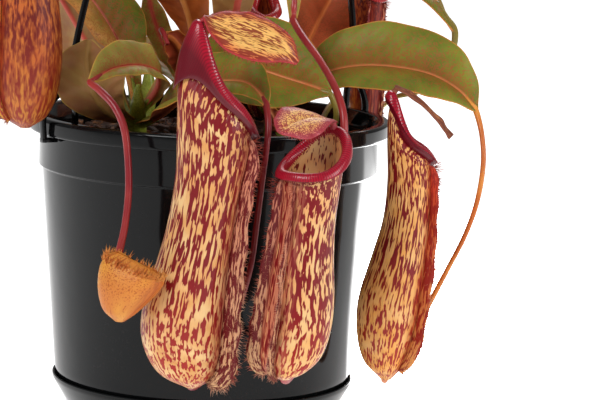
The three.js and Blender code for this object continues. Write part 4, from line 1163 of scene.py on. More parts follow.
    def section(self, turn: np.ndarray) -> np.ndarray:
        """Corners of the collar's section at each turn round the mouth.

        They go from inside the mouth over its edge, outwards and down the outside of the wall.

        Args:
            turn: turns round the mouth.

        Returns:
            For each turn, eight points.
        """
        low = 1 - self.hang - self.roll * ((1 - np.cos(turn)) / 2) ** 8
        full = np.ones_like(turn)
        _, out, on = self.wall_frame(full, turn)
        _, low_out, _ = self.wall_frame(low, turn)
        mouth, hung = self.wall(full, turn), self.wall(low, turn)
        tall = 1.05 * self.collar
        over = [mouth + out * a + on * b for a, b in
                ((-1.2, -0.6), *((a, b * tall) for a, b in OVER_THE_MOUTH), (3.1, -0.2))]
        between = (1 + low) / 2
        _, middle_out, _ = self.wall_frame(between, turn)
        below = [self.wall(between, turn) + middle_out * 2.6, hung + low_out * 1.7, hung + low_out * 0.8]
        return np.stack(over + below, axis=1)

    def add_collar(self, mould: Mould, finish: int) -> None:
        """Adds the ribbed collar.

        A closed smooth curve runs through the section's corners at each turn. Ribs 0.9 mm
        apart stand out from it by 0.14 mm times the absolute sine of half their phase to the
        power 0.8, and fade where the collar rolls under.

        Args:
            mould: where it goes.
            finish: the number of its material.
        """
        mouth = self.wall(np.ones(64), np.linspace(0, FULL_TURN, 64))
        ribs = int(np.linalg.norm(np.diff(mouth, axis=0), axis=1).sum() / RIB_APART)
        turn = even_turns(5 * ribs)
        corners = self.section(turn)
        count = corners.shape[1]
        v = np.linspace(0, count, 26, endpoint=False)
        i = v.astype(int)
        points = between_two(*(corners[:, (i + k) % count] for k in (-1, 0, 1, 2)), (v - i)[None, :, None])
        crest = np.abs(np.sin(turn * ribs / 2)) ** 0.8
        share = v / count
        push = RIB_HIGH * (crest[:, None] - 0.5) * np.clip(1.5 - 2.2 * share, 0, 1)
        points = points + unit(points - corners.mean(axis=1, keepdims=True)) * push[..., None]
        rib = triples(crest[:, None], turn[:, None] / FULL_TURN, share)
        mould.add_rings(points, finish, is_loop=True, rib=rib)

    def lid_blade(self) -> tuple[Blade, np.ndarray, np.ndarray]:
        """The lid's blade in the plant's own place, and the two ends of its neck.

        Returns:
            The blade, the neck's foot on the collar's crest, and its head in the blade.
        """
        back = np.array([math.pi])
        _, _, on = self.wall_frame(np.ones(1), back)
        mouth = self.wall(np.ones(1), back)[0]
        hinge = mouth + on[0] * (1.1 * self.collar + 1.4)
        table = np.asarray(self.lid, dtype=float)
        x, y = spun(table[:, 0], table[:, 1], self.azimuth)
        rows = np.column_stack([hinge[0] + x, hinge[1] + y, hinge[2] + table[:, 2], table[:, 3:]])
        blade = Blade(rows.tolist(), self.azimuth, arch=14, rib=(1.0, 0.6), skin=0.6, ripple=0.45, waves=3,
                      seed=len(self.name))
        foot = mouth + on[0] * 0.7 * self.collar
        return blade, foot, along(rows, np.array([0.05]))[0, :3]

    def dress(self) -> list[bpy.types.Object]:
        """Builds the cup, the collar and the lid.

        Returns:
            The three finished objects.
        """
        cup, collar, lid = Mould(), Mould(), Mould()
        self.add_cup(cup, 0)
        for side in (1, -1):
            self.add_wing(cup, side, 1)
        self.add_collar(collar, 0)
        blade, foot, head = self.lid_blade()
        blade.add_to(lid, 0, steps=36, across=10, start=0.0)
        rings, _ = tube([[*foot, 1.5], [*(0.5 * (foot + head)), 1.2], [*head, 1.1]], 12, 10)
        lid.add_rings(rings, 0)
        if self.hairs:
            roots, ahead, long = blade.fringe(self.hairs, 1.9, 11)
            shapes, faces = hairs(roots, ahead, long, 0.13)
            lid.add_many(shapes, faces, 1)
        finishes = [each.material() for each in (self.skin, self.wing_skin, PALE_HAIR, HAIR)]
        return [
            cup.cast(f"pitcher_{self.name}_skin", finishes, [f"pitcher_{self.name}"], self.slot),
            collar.cast(f"peristome_{self.name}_skin", [self.collar_skin.material()],
                        [f"peristome_{self.name}"], "crimson_collar"),
            lid.cast(f"lid_{self.name}_skin", [self.lid_skin.material(), HAIR.material()],
                     [f"lid_{self.name}"], self.slot),
        ]


COMMON_ROWS = (
    (-2, 0, 2, 0, 2), (-9, 5, 8, 4, 8), (-13, 15, 11.5, 13, 11.5), (-14, 30, 12, 28, 12.5),
    (-12, 48, 11.5, 45, 11.5), (-10.5, 65, 12, 59, 10.5), (-11, 80, 13, 70, 10),
    (-10, 91, 13.5, 75, 9.5), (-6, 100, 14, 77, 8),
)


def common_lid(size: float) -> Rows:
    """The lid that most pitchers share, at a size."""
    k = size
    return ((0, 0, 0, 1.3, 0, 0), (5 * k, 0, 3 * k, 6 * k, -5, -5), (15 * k, 0, 3 * k, 10 * k, -12, -12),
            (26 * k, 0, 0, 7 * k, -15, -15), (33 * k, 0, -4 * k, 1.2, -15, -15))


def make_pitchers() -> list[Pitcher]:
    """The plant's pitchers, the two large ones at the front first."""
    shared = {"rows": COMMON_ROWS, "skin": RUSSET_WALL, "lid_skin": RUSSET_LID, "collar_skin": RED_COLLAR}
    return [
        Pitcher("front_left", (0, -90, 0), 4,
            ((-6, 28.2, -2, 28.2, 2), (-17, 34, 3, 31.5, 10), (-23, 44, 7, 38, 14), (-24.3, 56, 8.5, 50, 15.5),
             (-20.5, 72, 9.3, 68, 15), (-15.5, 91, 11, 87, 13.5), (-12.5, 112, 13.5, 105, 12),
             (-12.5, 132, 16, 117, 11.5), (-12, 151.5, 17, 124, 10.5), (-5.5, 168.5, 16.5, 126.5, 7.5)),
            ((0, 0, 0, 1.4, 20, -20), (3.5, 0, -2.4, 5.5, 45, -40), (9.6, 0, -4.6, 8.6, 58, -58),
             (16, 0, -6.6, 10, 60, -60), (23, 0, -8.5, 9.8, 60, -60), (31, 0, -11.8, 7, 58, -55),
             (37, 0, -17, 1.2, 50, -50)),
            CREAM_WALL, SUN_LID, CRIMSON_COLLAR, pinch=0.35, sag=6, neck=1.5, waves=8, wing=11, fuzz=1500,
            collar=3.2, hang=0.03, roll=0.11, hairs=160, slot="spotted_pitcher"),
        Pitcher("front_right", (38, -96, 0), 230,
            ((8, 35.3, 12, 35.3, 2), (0.7, 39.5, 16.2, 37.5, 8), (-6, 45.5, 18, 42.5, 12),
             (-10.2, 56, 16.8, 52, 13.5), (-11.6, 68, 14.8, 64, 13.2), (-11.2, 82, 12.8, 78, 12),
             (-12, 97, 10, 93, 11), (-14, 111, 8.3, 104, 11.3), (-15.5, 122, 8, 110.5, 11.6),
             (-16, 129, 8, 113, 11.6)),
            ((0, 0, 0, 1.4, 0, 0), (6, 0, 1.5, 4, -10, 10), (14, 0, 2.5, 7.5, -35, 25), (22, 0, 2, 9, -45, 30),
             (29, 0, 0.5, 7, -45, 25), (34, 0, -1.5, 1.6, -40, 20)),
            BOLD_WALL, PINK_LID, CRIMSON_COLLAR, pinch=0, sag=4, neck=0, waves=8, wing=6, wings_at=-0.4,
            fuzz=800, collar=2.6, hang=0.04, hairs=60, slot="spotted_pitcher"),
        Pitcher("right", (0, -40, 0), 0,
            ((73, 23.2, 77, 23.2, 2), (65.5, 31, 81, 28, 8), (62.3, 43, 85.5, 39, 11.5),
             (62.6, 57, 88, 52, 12.5), (67.2, 74, 89.6, 68, 11.5), (71.2, 89, 90.6, 84, 10.5),
             (72.5, 105, 91, 98, 9.5), (71.8, 121, 90.7, 107, 9), (71.8, 132, 90.3, 110.5, 8),
             (73.2, 139, 90, 111.5, 6)),
            ((0, 0, 0, 1.4, 40, -30), (4, 0, -1.5, 1.6, 40, -35), (11, 0, -6, 1.6, 40, -35),
             (18, 0, -12.5, 1.5, 40, -35), (21.5, 0, -17, 1.8, 40, -35), (23.5, 0, -19.5, 2.2, 40, -35)),
            GOLD_WALL, DRY_LID, CRIMSON_COLLAR, pinch=0.35, sag=6, neck=1.2, waves=8, wing=6.5, fuzz=300,
            collar=2.4, wing_skin=ORANGE_WING, slot="golden_pitcher"),
        Pitcher("left", (-73, -56, 124), 184, lid=common_lid(1.1), size=1.1, slim=0.92, waves=7, wing=4,
            collar=2.8, wing_skin=GOLD_WING, **shared),
        Pitcher("inner_right", (67.5, 50, 112.5), -70, lid=common_lid(0.77), size=0.77, slim=0.82, waves=4,
            wing=2.4, **shared),
        Pitcher("inner_back", (22, 43, 119), -88, lid=common_lid(0.4), size=0.56, waves=4, wing=2.4, **shared),
        Pitcher("back_right", (52, 76, 32), 35, lid=common_lid(0.8), size=0.8, slot="golden_pitcher",
            rows=COMMON_ROWS, skin=GOLD_WALL, lid_skin=RUSSET_LID, collar_skin=RED_COLLAR),
    ]


@dataclass(frozen=True)
class YoungPitcher:
    """The closed young pitcher: a plump bag whose mouth is still shut under a frilled rim.

    Attributes:
        bag: its wall, as a pitcher's.
        frill: hairs round its rim.
    """

    bag: Pitcher
    frill: int = 260

    def dress(self) -> bpy.types.Object:
        """Builds the bag, its lips, the frill of hairs and its foot.

        Returns:
            The finished object.
        """
        mould = Mould()
        turn = even_turns(72)
        points = self.bag.wall(*np.meshgrid(np.linspace(0, 1, 50), turn, indexing="ij"))
        inward = self.bag.wall_frame(np.ones_like(turn), turn)[1]
        lips = [points[-1] - inward * a + np.array([0.3 * a, 0, 0.75 * a]) for a in (0.6, 1.2, 2.0, 3.0, 4.2)]
        s = np.concatenate([np.linspace(0, 1, 50), np.ones(len(lips))])[:, None]
        mould.add_rings(np.concatenate([points, np.stack(lips)]), 0, wall=ring(9.0, turn, 26.0 * s),
                        place=triples(s, turn / FULL_TURN, 0.0))
        draw = np.random.default_rng(5)
        at = draw.uniform(0, FULL_TURN, self.frill)
        level = draw.uniform(0.86, 1.0, self.frill)
        _, out, on = self.bag.wall_frame(level, at)
        lean = out * draw.uniform(0.1, 0.9, (self.frill, 1))
        ahead = unit(lean + on + 0.25 * draw.normal(0, 1, (self.frill, 3)))
        shapes, faces = hairs(self.bag.wall(level, at), ahead, draw.uniform(2.2, 4.6, self.frill), 0.3)
        mould.add_many(shapes, faces, 1)
        return mould.cast("young_pitcher_skin", [YOUNG_WALL.material(), YOUNG_HAIR.material()],
                          ["young_pitcher"], "orange_leaf")


def make_young() -> YoungPitcher:
    """The plant's one closed young pitcher."""
    rows = ((-4.6, 56, -1, 56, 1.5), (-9.6, 61, 4.2, 60, 6.5), (-11.7, 69, 10.7, 66.5, 8.6),
            (-11.3, 77, 14.5, 71.5, 7.6), (-8.7, 82, 14.5, 74, 5.5))
    return YoungPitcher(Pitcher("young", (-29.5, -104, 0), -20, rows, (), CREAM_WALL, SUN_LID, RED_COLLAR,
                                pinch=0, sag=0, neck=0))


def make_leaves() -> list[Leaf]:
    """The plant's leaves, those of the left stem first, then the right and the back one."""
    green, sunny, olive, dull, russet, orange = LeafKind
    return [
        Leaf("left_high", sunny, 150,
            ((-30, -12, 125, 2, 10, 10), (-34, -5, 142, 6, 15, 35), (-41, 0, 157, 17, 5, 30),
             (-52, 3, 172, 20, 5, 25), (-68, 4, 186, 18, 5, 20), (-85, 0, 192, 11, 5, 15),
             (-97, -8, 191, 1.6, 5, 10)),
            ((-97, -8, 191, 1.5), (-106, -16, 185, 1.3), (-111, -28, 170, 1.2), (-109, -42, 152, 1.2),
             (-103, -52, 137, 1.3), (-95, -56, 128, 1.5), (-84, -56, 128.5, 1.8), (-76, -56, 131, 1.8)),
            seed=1),
        Leaf("left_arched", olive, 240,
            ((-30, -12, 125, 2, 0, 20), (-22, -22, 136, 5, -20, 50), (-21, -34, 144.5, 9.5, -30, 66),
             (-29, -48, 149, 11, -30, 70), (-39, -59, 148.5, 9.5, -20, 70), (-47, -68, 144, 1.8, -10, 60)),
            ((-47, -68, 144, 1.4), (-43, -73, 141.5, 1.5), (-37, -78, 136, 1.5), (-33, -81.5, 128, 1.5),
             (-31.2, -84, 117, 1.4), (-30.5, -86.5, 104, 1.4), (-31.5, -89, 91, 1.4), (-33.5, -90.5, 80, 1.5),
             (-35, -91, 69, 1.5), (-34, -94, 59.5, 1.6), (-32, -101, 58, 1.8)),
            shares=(0.6, 1.0), seed=2),
        Leaf("left_upright", dull, 180,
            ((-30, -12, 122, 2, 20, -20), (-40, -33, 127.5, 7, 65, -60), (-47, -42.5, 138, 14, 82, -80),
             (-49.5, -43, 149.5, 13, 80, -80), (-49, -43, 158.5, 1.6, 80, -80)),
            seed=3),
        Leaf("left_rear", olive, 150,
            ((-30, -12, 123, 2, 10, -10), (-38, 2, 134, 8, 60, -60), (-49, 17, 147, 13, 75, -75),
             (-59, 28, 161, 17, 75, -75), (-68, 34, 175, 13, 75, -75), (-75, 36, 187, 1.6, 75, -75)),
            seed=4),
        Leaf("middle_front", green, -48,
            ((-30, -12, 121, 2, 0, 0), (-20, -27.5, 127, 8.5, 60, -10), (-10, -41, 136, 16, 64, -15),
             (2, -54, 143.5, 15, 65, -15), (13, -62, 145, 12, 65, -15), (19, -67, 142, 6, 60, -15),
             (22, -71, 137.5, 1.4, 50, -10)),
            ((22, -71, 137.5, 1.4), (23, -76, 130, 1.3), (22.3, -79, 120, 1.2), (21, -80, 107, 1.2),
             (19.6, -79.5, 92, 1.2), (18, -78, 76, 1.2), (14.5, -72.5, 60, 1.2), (10, -71, 46, 1.2),
             (4, -71.5, 34, 1.4), (-1, -77, 27.5, 1.6), (-4, -84.5, 27.5, 1.7), (-4.5, -91, 31, 1.7)),
            seed=5),
        Leaf("middle_broad", green, -5,
            ((27, 4, 124, 2, 0, 0), (16, 7, 134, 5, 40, -10), (8, 3, 143, 15, 70, -25),
             (15, -7, 146, 22, 78, -32), (30, -14, 142.5, 22, 78, -34), (42, -18, 139.5, 12, 78, -34),
             (49, -20, 137, 1.5, 70, -30)),
            ((49, -20, 137, 1.3), (51.5, -20, 131, 1.2), (51.5, -17, 124.5, 1.2), (49, -9, 120, 1.2),
             (46, 4, 118.8, 1.2), (47, 18, 121, 1.2), (52, 33, 127.5, 1.2), (57, 49, 128, 1.2),
             (61, 60, 120, 1.2), (65, 60, 112.5, 1.3), (67, 53, 111.5, 1.4), (67.4, 49, 115, 1.4)),
            cord=OLIVE_TENDRIL, seed=6),
        Leaf("right_large", green, -8,
            ((27, 4, 126, 2, 0, 0), (39, -1, 139, 6, 50, -15), (52, -5, 145.5, 15, 76, -24),
             (68, -8, 148, 19, 78, -24), (88, -11, 146, 18, 78, -24), (101, -13, 140, 12, 78, -24),
             (109.5, -14, 131.5, 1.5, 60, -20)),
            ((109.5, -14, 131.5, 1.3), (112, -18, 122, 1.1), (112.7, -22, 110, 1.1), (110.5, -25, 95, 1.1),
             (106, -26, 81, 1.1), (99.5, -26, 67, 1.1), (93.5, -25, 54, 1.2), (88, -24, 43, 1.2),
             (82, -24, 33, 1.3), (77, -27, 24.5, 1.4), (75, -33, 21.5, 1.5), (74.5, -40, 26, 1.6)),
            cord=GOLD_TENDRIL, seed=7),
        Leaf("right_behind", green, 10,
            ((-2, 34, 126, 2, 0, 0), (7, 47, 148, 5, 10, 0), (19, 65, 170, 12, 20, -30),
             (40, 84, 184, 18, 20, -50), (68, 92, 188, 19, 20, -50), (92, 82, 176, 13, 20, -50),
             (106, 64, 157, 1.6, 10, -30)),
            ((106, 64, 157, 1.5), (104, 58, 146, 1.3), (98, 56, 137, 1.2), (90, 56, 131, 1.2),
             (80, 64, 127, 1.2), (71, 74, 116, 1.2), (66, 82, 100, 1.2), (64, 87, 80, 1.2), (64, 91, 60, 1.3),
             (64, 91, 44, 1.5), (60, 86, 34, 1.6), (52, 77, 38, 1.6)),
            cord=OLIVE_TENDRIL, seed=8),
        Leaf("right_upright", russet, 0,
            ((27, 4, 127, 2, 0, 0), (35, 23, 139, 5, 40, -40), (41, 45, 151, 10, 80, -80),
             (49, 62, 166, 14, 82, -82), (60, 68, 184, 14, 75, -75), (74, 66, 199, 9, 50, -50),
             (88, 60, 206, 1.6, 20, -20)),
            ((88, 60, 206, 1.4), (98, 54, 205, 1.2), (105, 46, 197, 1.2), (107, 39, 187, 1.4),
             (104, 34, 180, 2.4), (100, 32, 176, 1.2)),
            seed=9),
        Leaf("over_front", olive, -65,
            ((-2, 34, 127, 2, 0, 0), (7, 30, 152, 6, 20, 20), (12, 19, 179, 14, 25, 25),
             (19, 5, 198, 18, 15, 15), (27, -10, 198, 14, 10, 10), (32, -22, 184, 6, 5, 5),
             (32.5, -28, 168, 1.6, 0, 0)),
            ((32.5, -28, 168, 1.5), (36, -39, 162.5, 1.5), (43, -53, 154, 1.5), (49, -66, 144.5, 1.5),
             (52.3, -75, 134, 1.5), (52, -77, 120, 1.7), (49, -76.5, 104, 1.7), (46, -76, 86, 1.7),
             (44, -76, 66, 1.7), (42, -77, 50, 1.8), (38, -80, 38, 1.8), (33, -88, 32, 1.8),
             (31, -97, 37, 1.8)),
            cord=PINK_TENDRIL, seed=10),
        Leaf("left_top", orange, 170,
            ((-2, 34, 128, 2, 0, 0), (-7, 30, 146, 4.5, 30, -30), (-9.5, 24, 162, 11, 60, -60),
             (-15.5, 18, 176, 14, 60, -60), (-27, 14, 188, 11, 45, -45), (-43, 9, 194, 7, 30, -30),
             (-56, 4, 193, 1.6, 10, -10)),
            ((-56, 4, 193, 1.3), (-65, 0, 192, 1.2), (-72, -4, 197, 1.2), (-72, -6, 205, 1.6),
             (-68, -6, 210, 1)),
            cord=GOLD_TENDRIL, seed=11),
        Leaf("left_slim", olive, 90,
            ((-2, 34, 125, 2, 0, 0), (-13, 34, 138, 3, 0, 0), (-20, 34, 150, 5, 0, 0),
             (-25, 32, 162, 5.5, 0, 0), (-28, 30, 174, 1.4, 0, 0)),
            seed=12),
        Leaf("left_inner", russet, 225,
            ((-2, 34, 124, 2, 0, 0), (-8, 25, 137, 5, 30, -30), (-12, 14, 148, 7, 60, -60),
             (-16, 6, 155, 5, 60, -60), (-20, 0, 158, 1.4, 50, -50)),
            ((-20, 0, 158, 1.2), (-21, -4, 160, 1.1), (-20, -9, 159, 1), (-18, -13, 155, 0.9)),
            seed=13),
        Leaf("inner_low", green, -15,
            ((-2, 34, 124, 2, 0, 0), (5, 28, 130, 3, 10, -10), (14, 24, 133, 4.5, 20, -20),
             (24, 25, 132, 4, 20, -20), (32, 28, 128, 3, 20, -20), (36, 33, 124, 1.4, 10, -10)),
            ((36, 33, 124, 1.2), (37.5, 38, 120.5, 1.1), (35, 44, 118.8, 1.1), (30, 47.5, 118.4, 1.1),
             (24.5, 47, 120, 1.2), (22, 43, 123, 1.2)),
            seed=14),
        Leaf("middle_small", green, 250,
            ((27, 4, 120, 2, 0, 0), (27.5, -12, 121.5, 3, 20, 30), (26.5, -25, 122.5, 3.5, 30, 60),
             (24.5, -35, 129.5, 4.5, 30, 75), (23, -41, 133, 1.4, 20, 60)),
            seed=15),
        Leaf("back_left", green, 125,
            ((-2, 34, 121, 2, 0, 0), (-12, 48, 132, 7, 15, 15), (-25, 62, 143, 16, 15, 15),
             (-37, 77, 146, 18, 5, 5), (-46, 90, 139, 11, 0, 0), (-51, 98, 129, 1.6, -5, -5)),
            ((-51, 98, 129, 1.5), (-56, 107, 118, 1.3), (-60, 111, 102, 1.2), (-61, 109, 86, 1.2),
             (-59, 104, 72, 1.3), (-55, 98, 64, 1.6), (-51, 93, 66, 2.6), (-49, 91, 72, 1.4)),
            seed=16),
        Leaf("back_right", green, 72,
            ((-2, 34, 120, 2, 0, 0), (7, 50, 128, 7, 20, 20), (14, 67, 138, 16, 15, 15),
             (19, 84, 139, 18, 5, 5), (23, 99, 130, 11, -5, -5), (25, 108, 118, 1.6, -5, -5)),
            ((25, 108, 118, 1.4), (25, 112, 106, 1.3), (22, 113, 92, 1.3), (16, 112, 81, 1.4),
             (10, 108, 76, 2.6), (7, 104, 77, 1.4)),
            seed=17),
    ]


# ---------------------------------------------------------------- stems, soil and pot

@dataclass(frozen=True)
class Stem:
    """A short stem in the soil with the rolled young leaves at its heart.

    Attributes:
        name: the solid it stands for, without its stem_ prefix.
        x: its place.
        y: its place.
        buds: x, y, z and radius of each rolled leaf.
        arms: the first x, y, z of each leaf that grows from it.
    """

    name: str
    x: float
    y: float
    buds: Sequence[Rows] = ()
    arms: Sequence[Rows] = ()

    def dress(self) -> bpy.types.Object:
        """Builds the stem with its buds and the bases of its leaves.

        Returns:
            The finished object.
        """
        mould = Mould()
        rows = [[self.x, self.y, z, r] for z, r in ((98, 4.5), (106, 4.4), (115, 4.3), (122, 4.0), (128, 2.6))]
        for path, sides in [(rows, 24), *[(bud, 18) for bud in self.buds], *[(arm, 12) for arm in self.arms]]:
            rings, travelled = tube(path, sides, 24)
            mould.add_rings(rings, 0, flat=triples(3.0, travelled, 5.0), leaf=triples(0.8, 0 * travelled, 1.0))
        return mould.cast(f"stem_{self.name}_skin", [BUD_SKIN.material()], [f"stem_{self.name}"], "green_leaf")


def make_stems(leaves: Sequence[Leaf]) -> list[Stem]:
    """The plant's three stems, each with the bases of the leaves that start on it.

    Args:
        leaves: the plant's leaves.

    Returns:
        The stems.
    """
    places = {"left": (-30, -12), "right": (27, 4), "back": (-2, 34)}
    buds = {
        "left": [((-30, -12, 119, 4), (-29.5, -17.5, 127, 3.4), (-29.5, -21.5, 132, 2.6),
                  (-29.5, -22, 139, 0.8)),
                 ((-30, -12, 119, 3.4), (-26.5, -10, 128, 3.8), (-25.5, -9.8, 137, 3), (-26, -10.5, 146, 0.9))],
        "right": [((27, 4, 122, 3), (25, 10, 132, 2.6), (25, 13, 141, 1.8), (26, 14, 149, 0.6))],
    }
    stems = []
    for name, (x, y) in places.items():
        arms = []
        for leaf in leaves:
            if tuple(leaf.rows[0][:2]) == (x, y):
                part = along(leaf.rows, np.linspace(0, 0.14, 4))
                arms.append([[*row[:3], r] for row, r in zip(part, (2.4, 2.2, 1.9, 1.4))])
        stems.append(Stem(name, x, y, buds.get(name, ()), arms))
    return stems


@dataclass(frozen=True)
class Turned:
    """A piece turned round the upright axis from a closed outline of radius and height.

    Attributes:
        name: the solid it stands for.
        outline: radius and height, with a rounding radius for each corner.
        segments: points round it.
    """

    name: str
    outline: Rows
    segments: int = 180

    def rounded(self) -> np.ndarray:
        """The outline with each corner replaced by four points of a short curve.

        Each curve runs between the points that lie the corner's rounding before and after it,
        as a parabola that has the corner as its handle.
        """
        table = np.asarray(self.outline, dtype=float)
        points = [table[0, :2]]
        for before, here, after in zip(table[:-2], table[1:-1], table[2:]):
            reach_back = min(here[2], 0.45 * np.linalg.norm(before[:2] - here[:2]))
            reach_on = min(here[2], 0.45 * np.linalg.norm(after[:2] - here[:2]))
            start = here[:2] + unit(before[:2] - here[:2]) * reach_back
            stop = here[:2] + unit(after[:2] - here[:2]) * reach_on
            for f in (0.0, 0.33, 0.67, 1.0):
                points.append((1 - f) ** 2 * start + 2 * f * (1 - f) * here[:2] + f * f * stop)
        return np.array([*points, table[-1, :2]])

    def dress(self) -> bpy.types.Object:
        """Builds the turned piece.

        Returns:
            The finished object.
        """
        mould = Mould()
        outline = self.rounded()
        mould.add_rings(ring(np.maximum(outline[:, :1], 0.02), even_turns(self.segments), outline[:, 1:]))
        return mould.cast(f"{self.name}_moulded", [BLACK_PLASTIC.material()], [self.name], "black_plastic")


RIM_RADIUS = 75
BAND_FOOT = 118.3  # the height at which the pot's rim band ends below
RIM_GAP, BAND_GAP = 0.7, 0.4  # how far the hanger's clips stay clear of both


def make_pot() -> Turned:
    """The pot: a rim band, a collar with a ledge under it, and a tapered wall down to its floor."""
    return Turned("pot", (
        (0, 2.3, 0), (55.5, 2.3, 2), (60.7, 14.3, 1), (61.9, 18, 2), (68.9, 102.8, 0.5), (70.4, 103.4, 0.5),
        (70.4, BAND_FOOT, 0.5), (74.4, BAND_FOOT, 0.7), (RIM_RADIUS, 119.1, 0.7), (RIM_RADIUS, 124.2, 0.8),
        (74.2, 125, 0.6), (70.6, 125, 0.5), (68.7, BAND_FOOT, 1), (67.2, 102.8, 1), (60.2, 18, 2),
        (53.8, 4, 2), (0, 4, 0)))


def make_saucer() -> Turned:
    """The drip saucer that the pot stands in."""
    return Turned("drip_saucer", (
        (0, 0, 0), (53, 0, 0.6), (55, 1, 1), (62.9, 14.2, 1), (62.9, 15.8, 0.5), (62.2, 15.8, 0.3),
        (61.3, 14.2, 0.6), (56.1, 2, 1), (54, 2, 1), (0, 2, 0)))


@dataclass(frozen=True)
class SoilBed:
    """The soil with its crumbs: a lumpy bed, bark chips and a few white grains on it.

    Attributes:
        level: its mean height.
        radius: its radius at the top.
        chips: how many bark chips lie on it.
        grains: how many white grains.
    """

    level: float = 115.0
    radius: float = 66.3
    chips: int = 900
    grains: int = 60

    def height(self, x: np.ndarray, y: np.ndarray) -> np.ndarray:
        """Height of the bed: the level, plus four sines of shrinking length in different ways."""
        lumps = np.sin(x * 0.21 + 1) * np.sin(y * 0.24 + 2) + 0.6 * np.sin(x * 0.47 - y * 0.33)
        crumbs = 0.5 * np.sin(x * 1.1 + 2 * np.sin(y * 0.9)) * np.sin(y * 1.3 + 1)
        return self.level + 0.7 * lumps + 0.7 * crumbs

    def scatter(self, draw: np.random.Generator, count: int, long: tuple[float, float],
                flat: float) -> tuple[np.ndarray, np.ndarray]:
        """Irregular eight-cornered chips, each turned at random and sunk a little into the bed.

        Args:
            draw: the seeded draw.
            count: how many.
            long: the least and greatest length.
            flat: breadth and height against length.

        Returns:
            The copies' points, and the faces of one copy.
        """
        cube = np.array([[x, y, z] for x in (-1, 1) for y in (-1, 1) for z in (-1, 1)], dtype=float)
        size = draw.uniform(*long, (count, 1, 1)) / 2
        stretch = triples(1.0, draw.uniform(flat, 1, count), draw.uniform(0.6 * flat, flat, count))
        shapes = cube * size * stretch[:, None] * draw.uniform(0.65, 1.15, (count, 8, 3))
        spin, tip = draw.uniform(0, FULL_TURN, (count, 1)), draw.uniform(-0.7, 0.7, (count, 1))
        c, s, ct, st = np.cos(spin), np.sin(spin), np.cos(tip), np.sin(tip)
        x, y, z = np.moveaxis(shapes, -1, 0)
        x, z = x * ct + z * st, z * ct - x * st
        r, a = (self.radius - 4) * np.sqrt(draw.uniform(0, 1, count)), draw.uniform(0, FULL_TURN, count)
        px, py = r * np.cos(a), r * np.sin(a)
        middle = triples(px, py, self.height(px, py) + 0.3)
        faces = np.array([[0, 1, 3], [0, 3, 2], [4, 6, 7], [4, 7, 5], [0, 4, 5], [0, 5, 1],
                          [2, 3, 7], [2, 7, 6], [0, 2, 6], [0, 6, 4], [1, 5, 7], [1, 7, 3]])
        return triples(x * c - y * s, x * s + y * c, z) + middle[:, None], faces

    def dress(self) -> bpy.types.Object:
        """Builds the soil.

        Returns:
            The finished object.
        """
        mould = Mould()
        turn = even_turns(160)
        walls = [ring(r, turn, z) for r, z in ((52, 4.6), (58.5, 18), (66.0, 102.8))]
        tops = [ring(r, turn, self.height(r * np.cos(turn), r * np.sin(turn)))
                for r in np.linspace(self.radius, 0.3, 44)]
        mould.add_rings(np.stack(walls + tops))
        draw = np.random.default_rng(21)
        mould.add_many(*self.scatter(draw, self.chips, (2.0, 7.0), 0.45), 1)
        mould.add_many(*self.scatter(draw, self.grains, (1.2, 2.6), 0.8), 2)
        return mould.cast("soil_mix", [SOIL_MIX.material(), BARK.material(), PERLITE.material()],
                          ["soil"], "potting_soil")


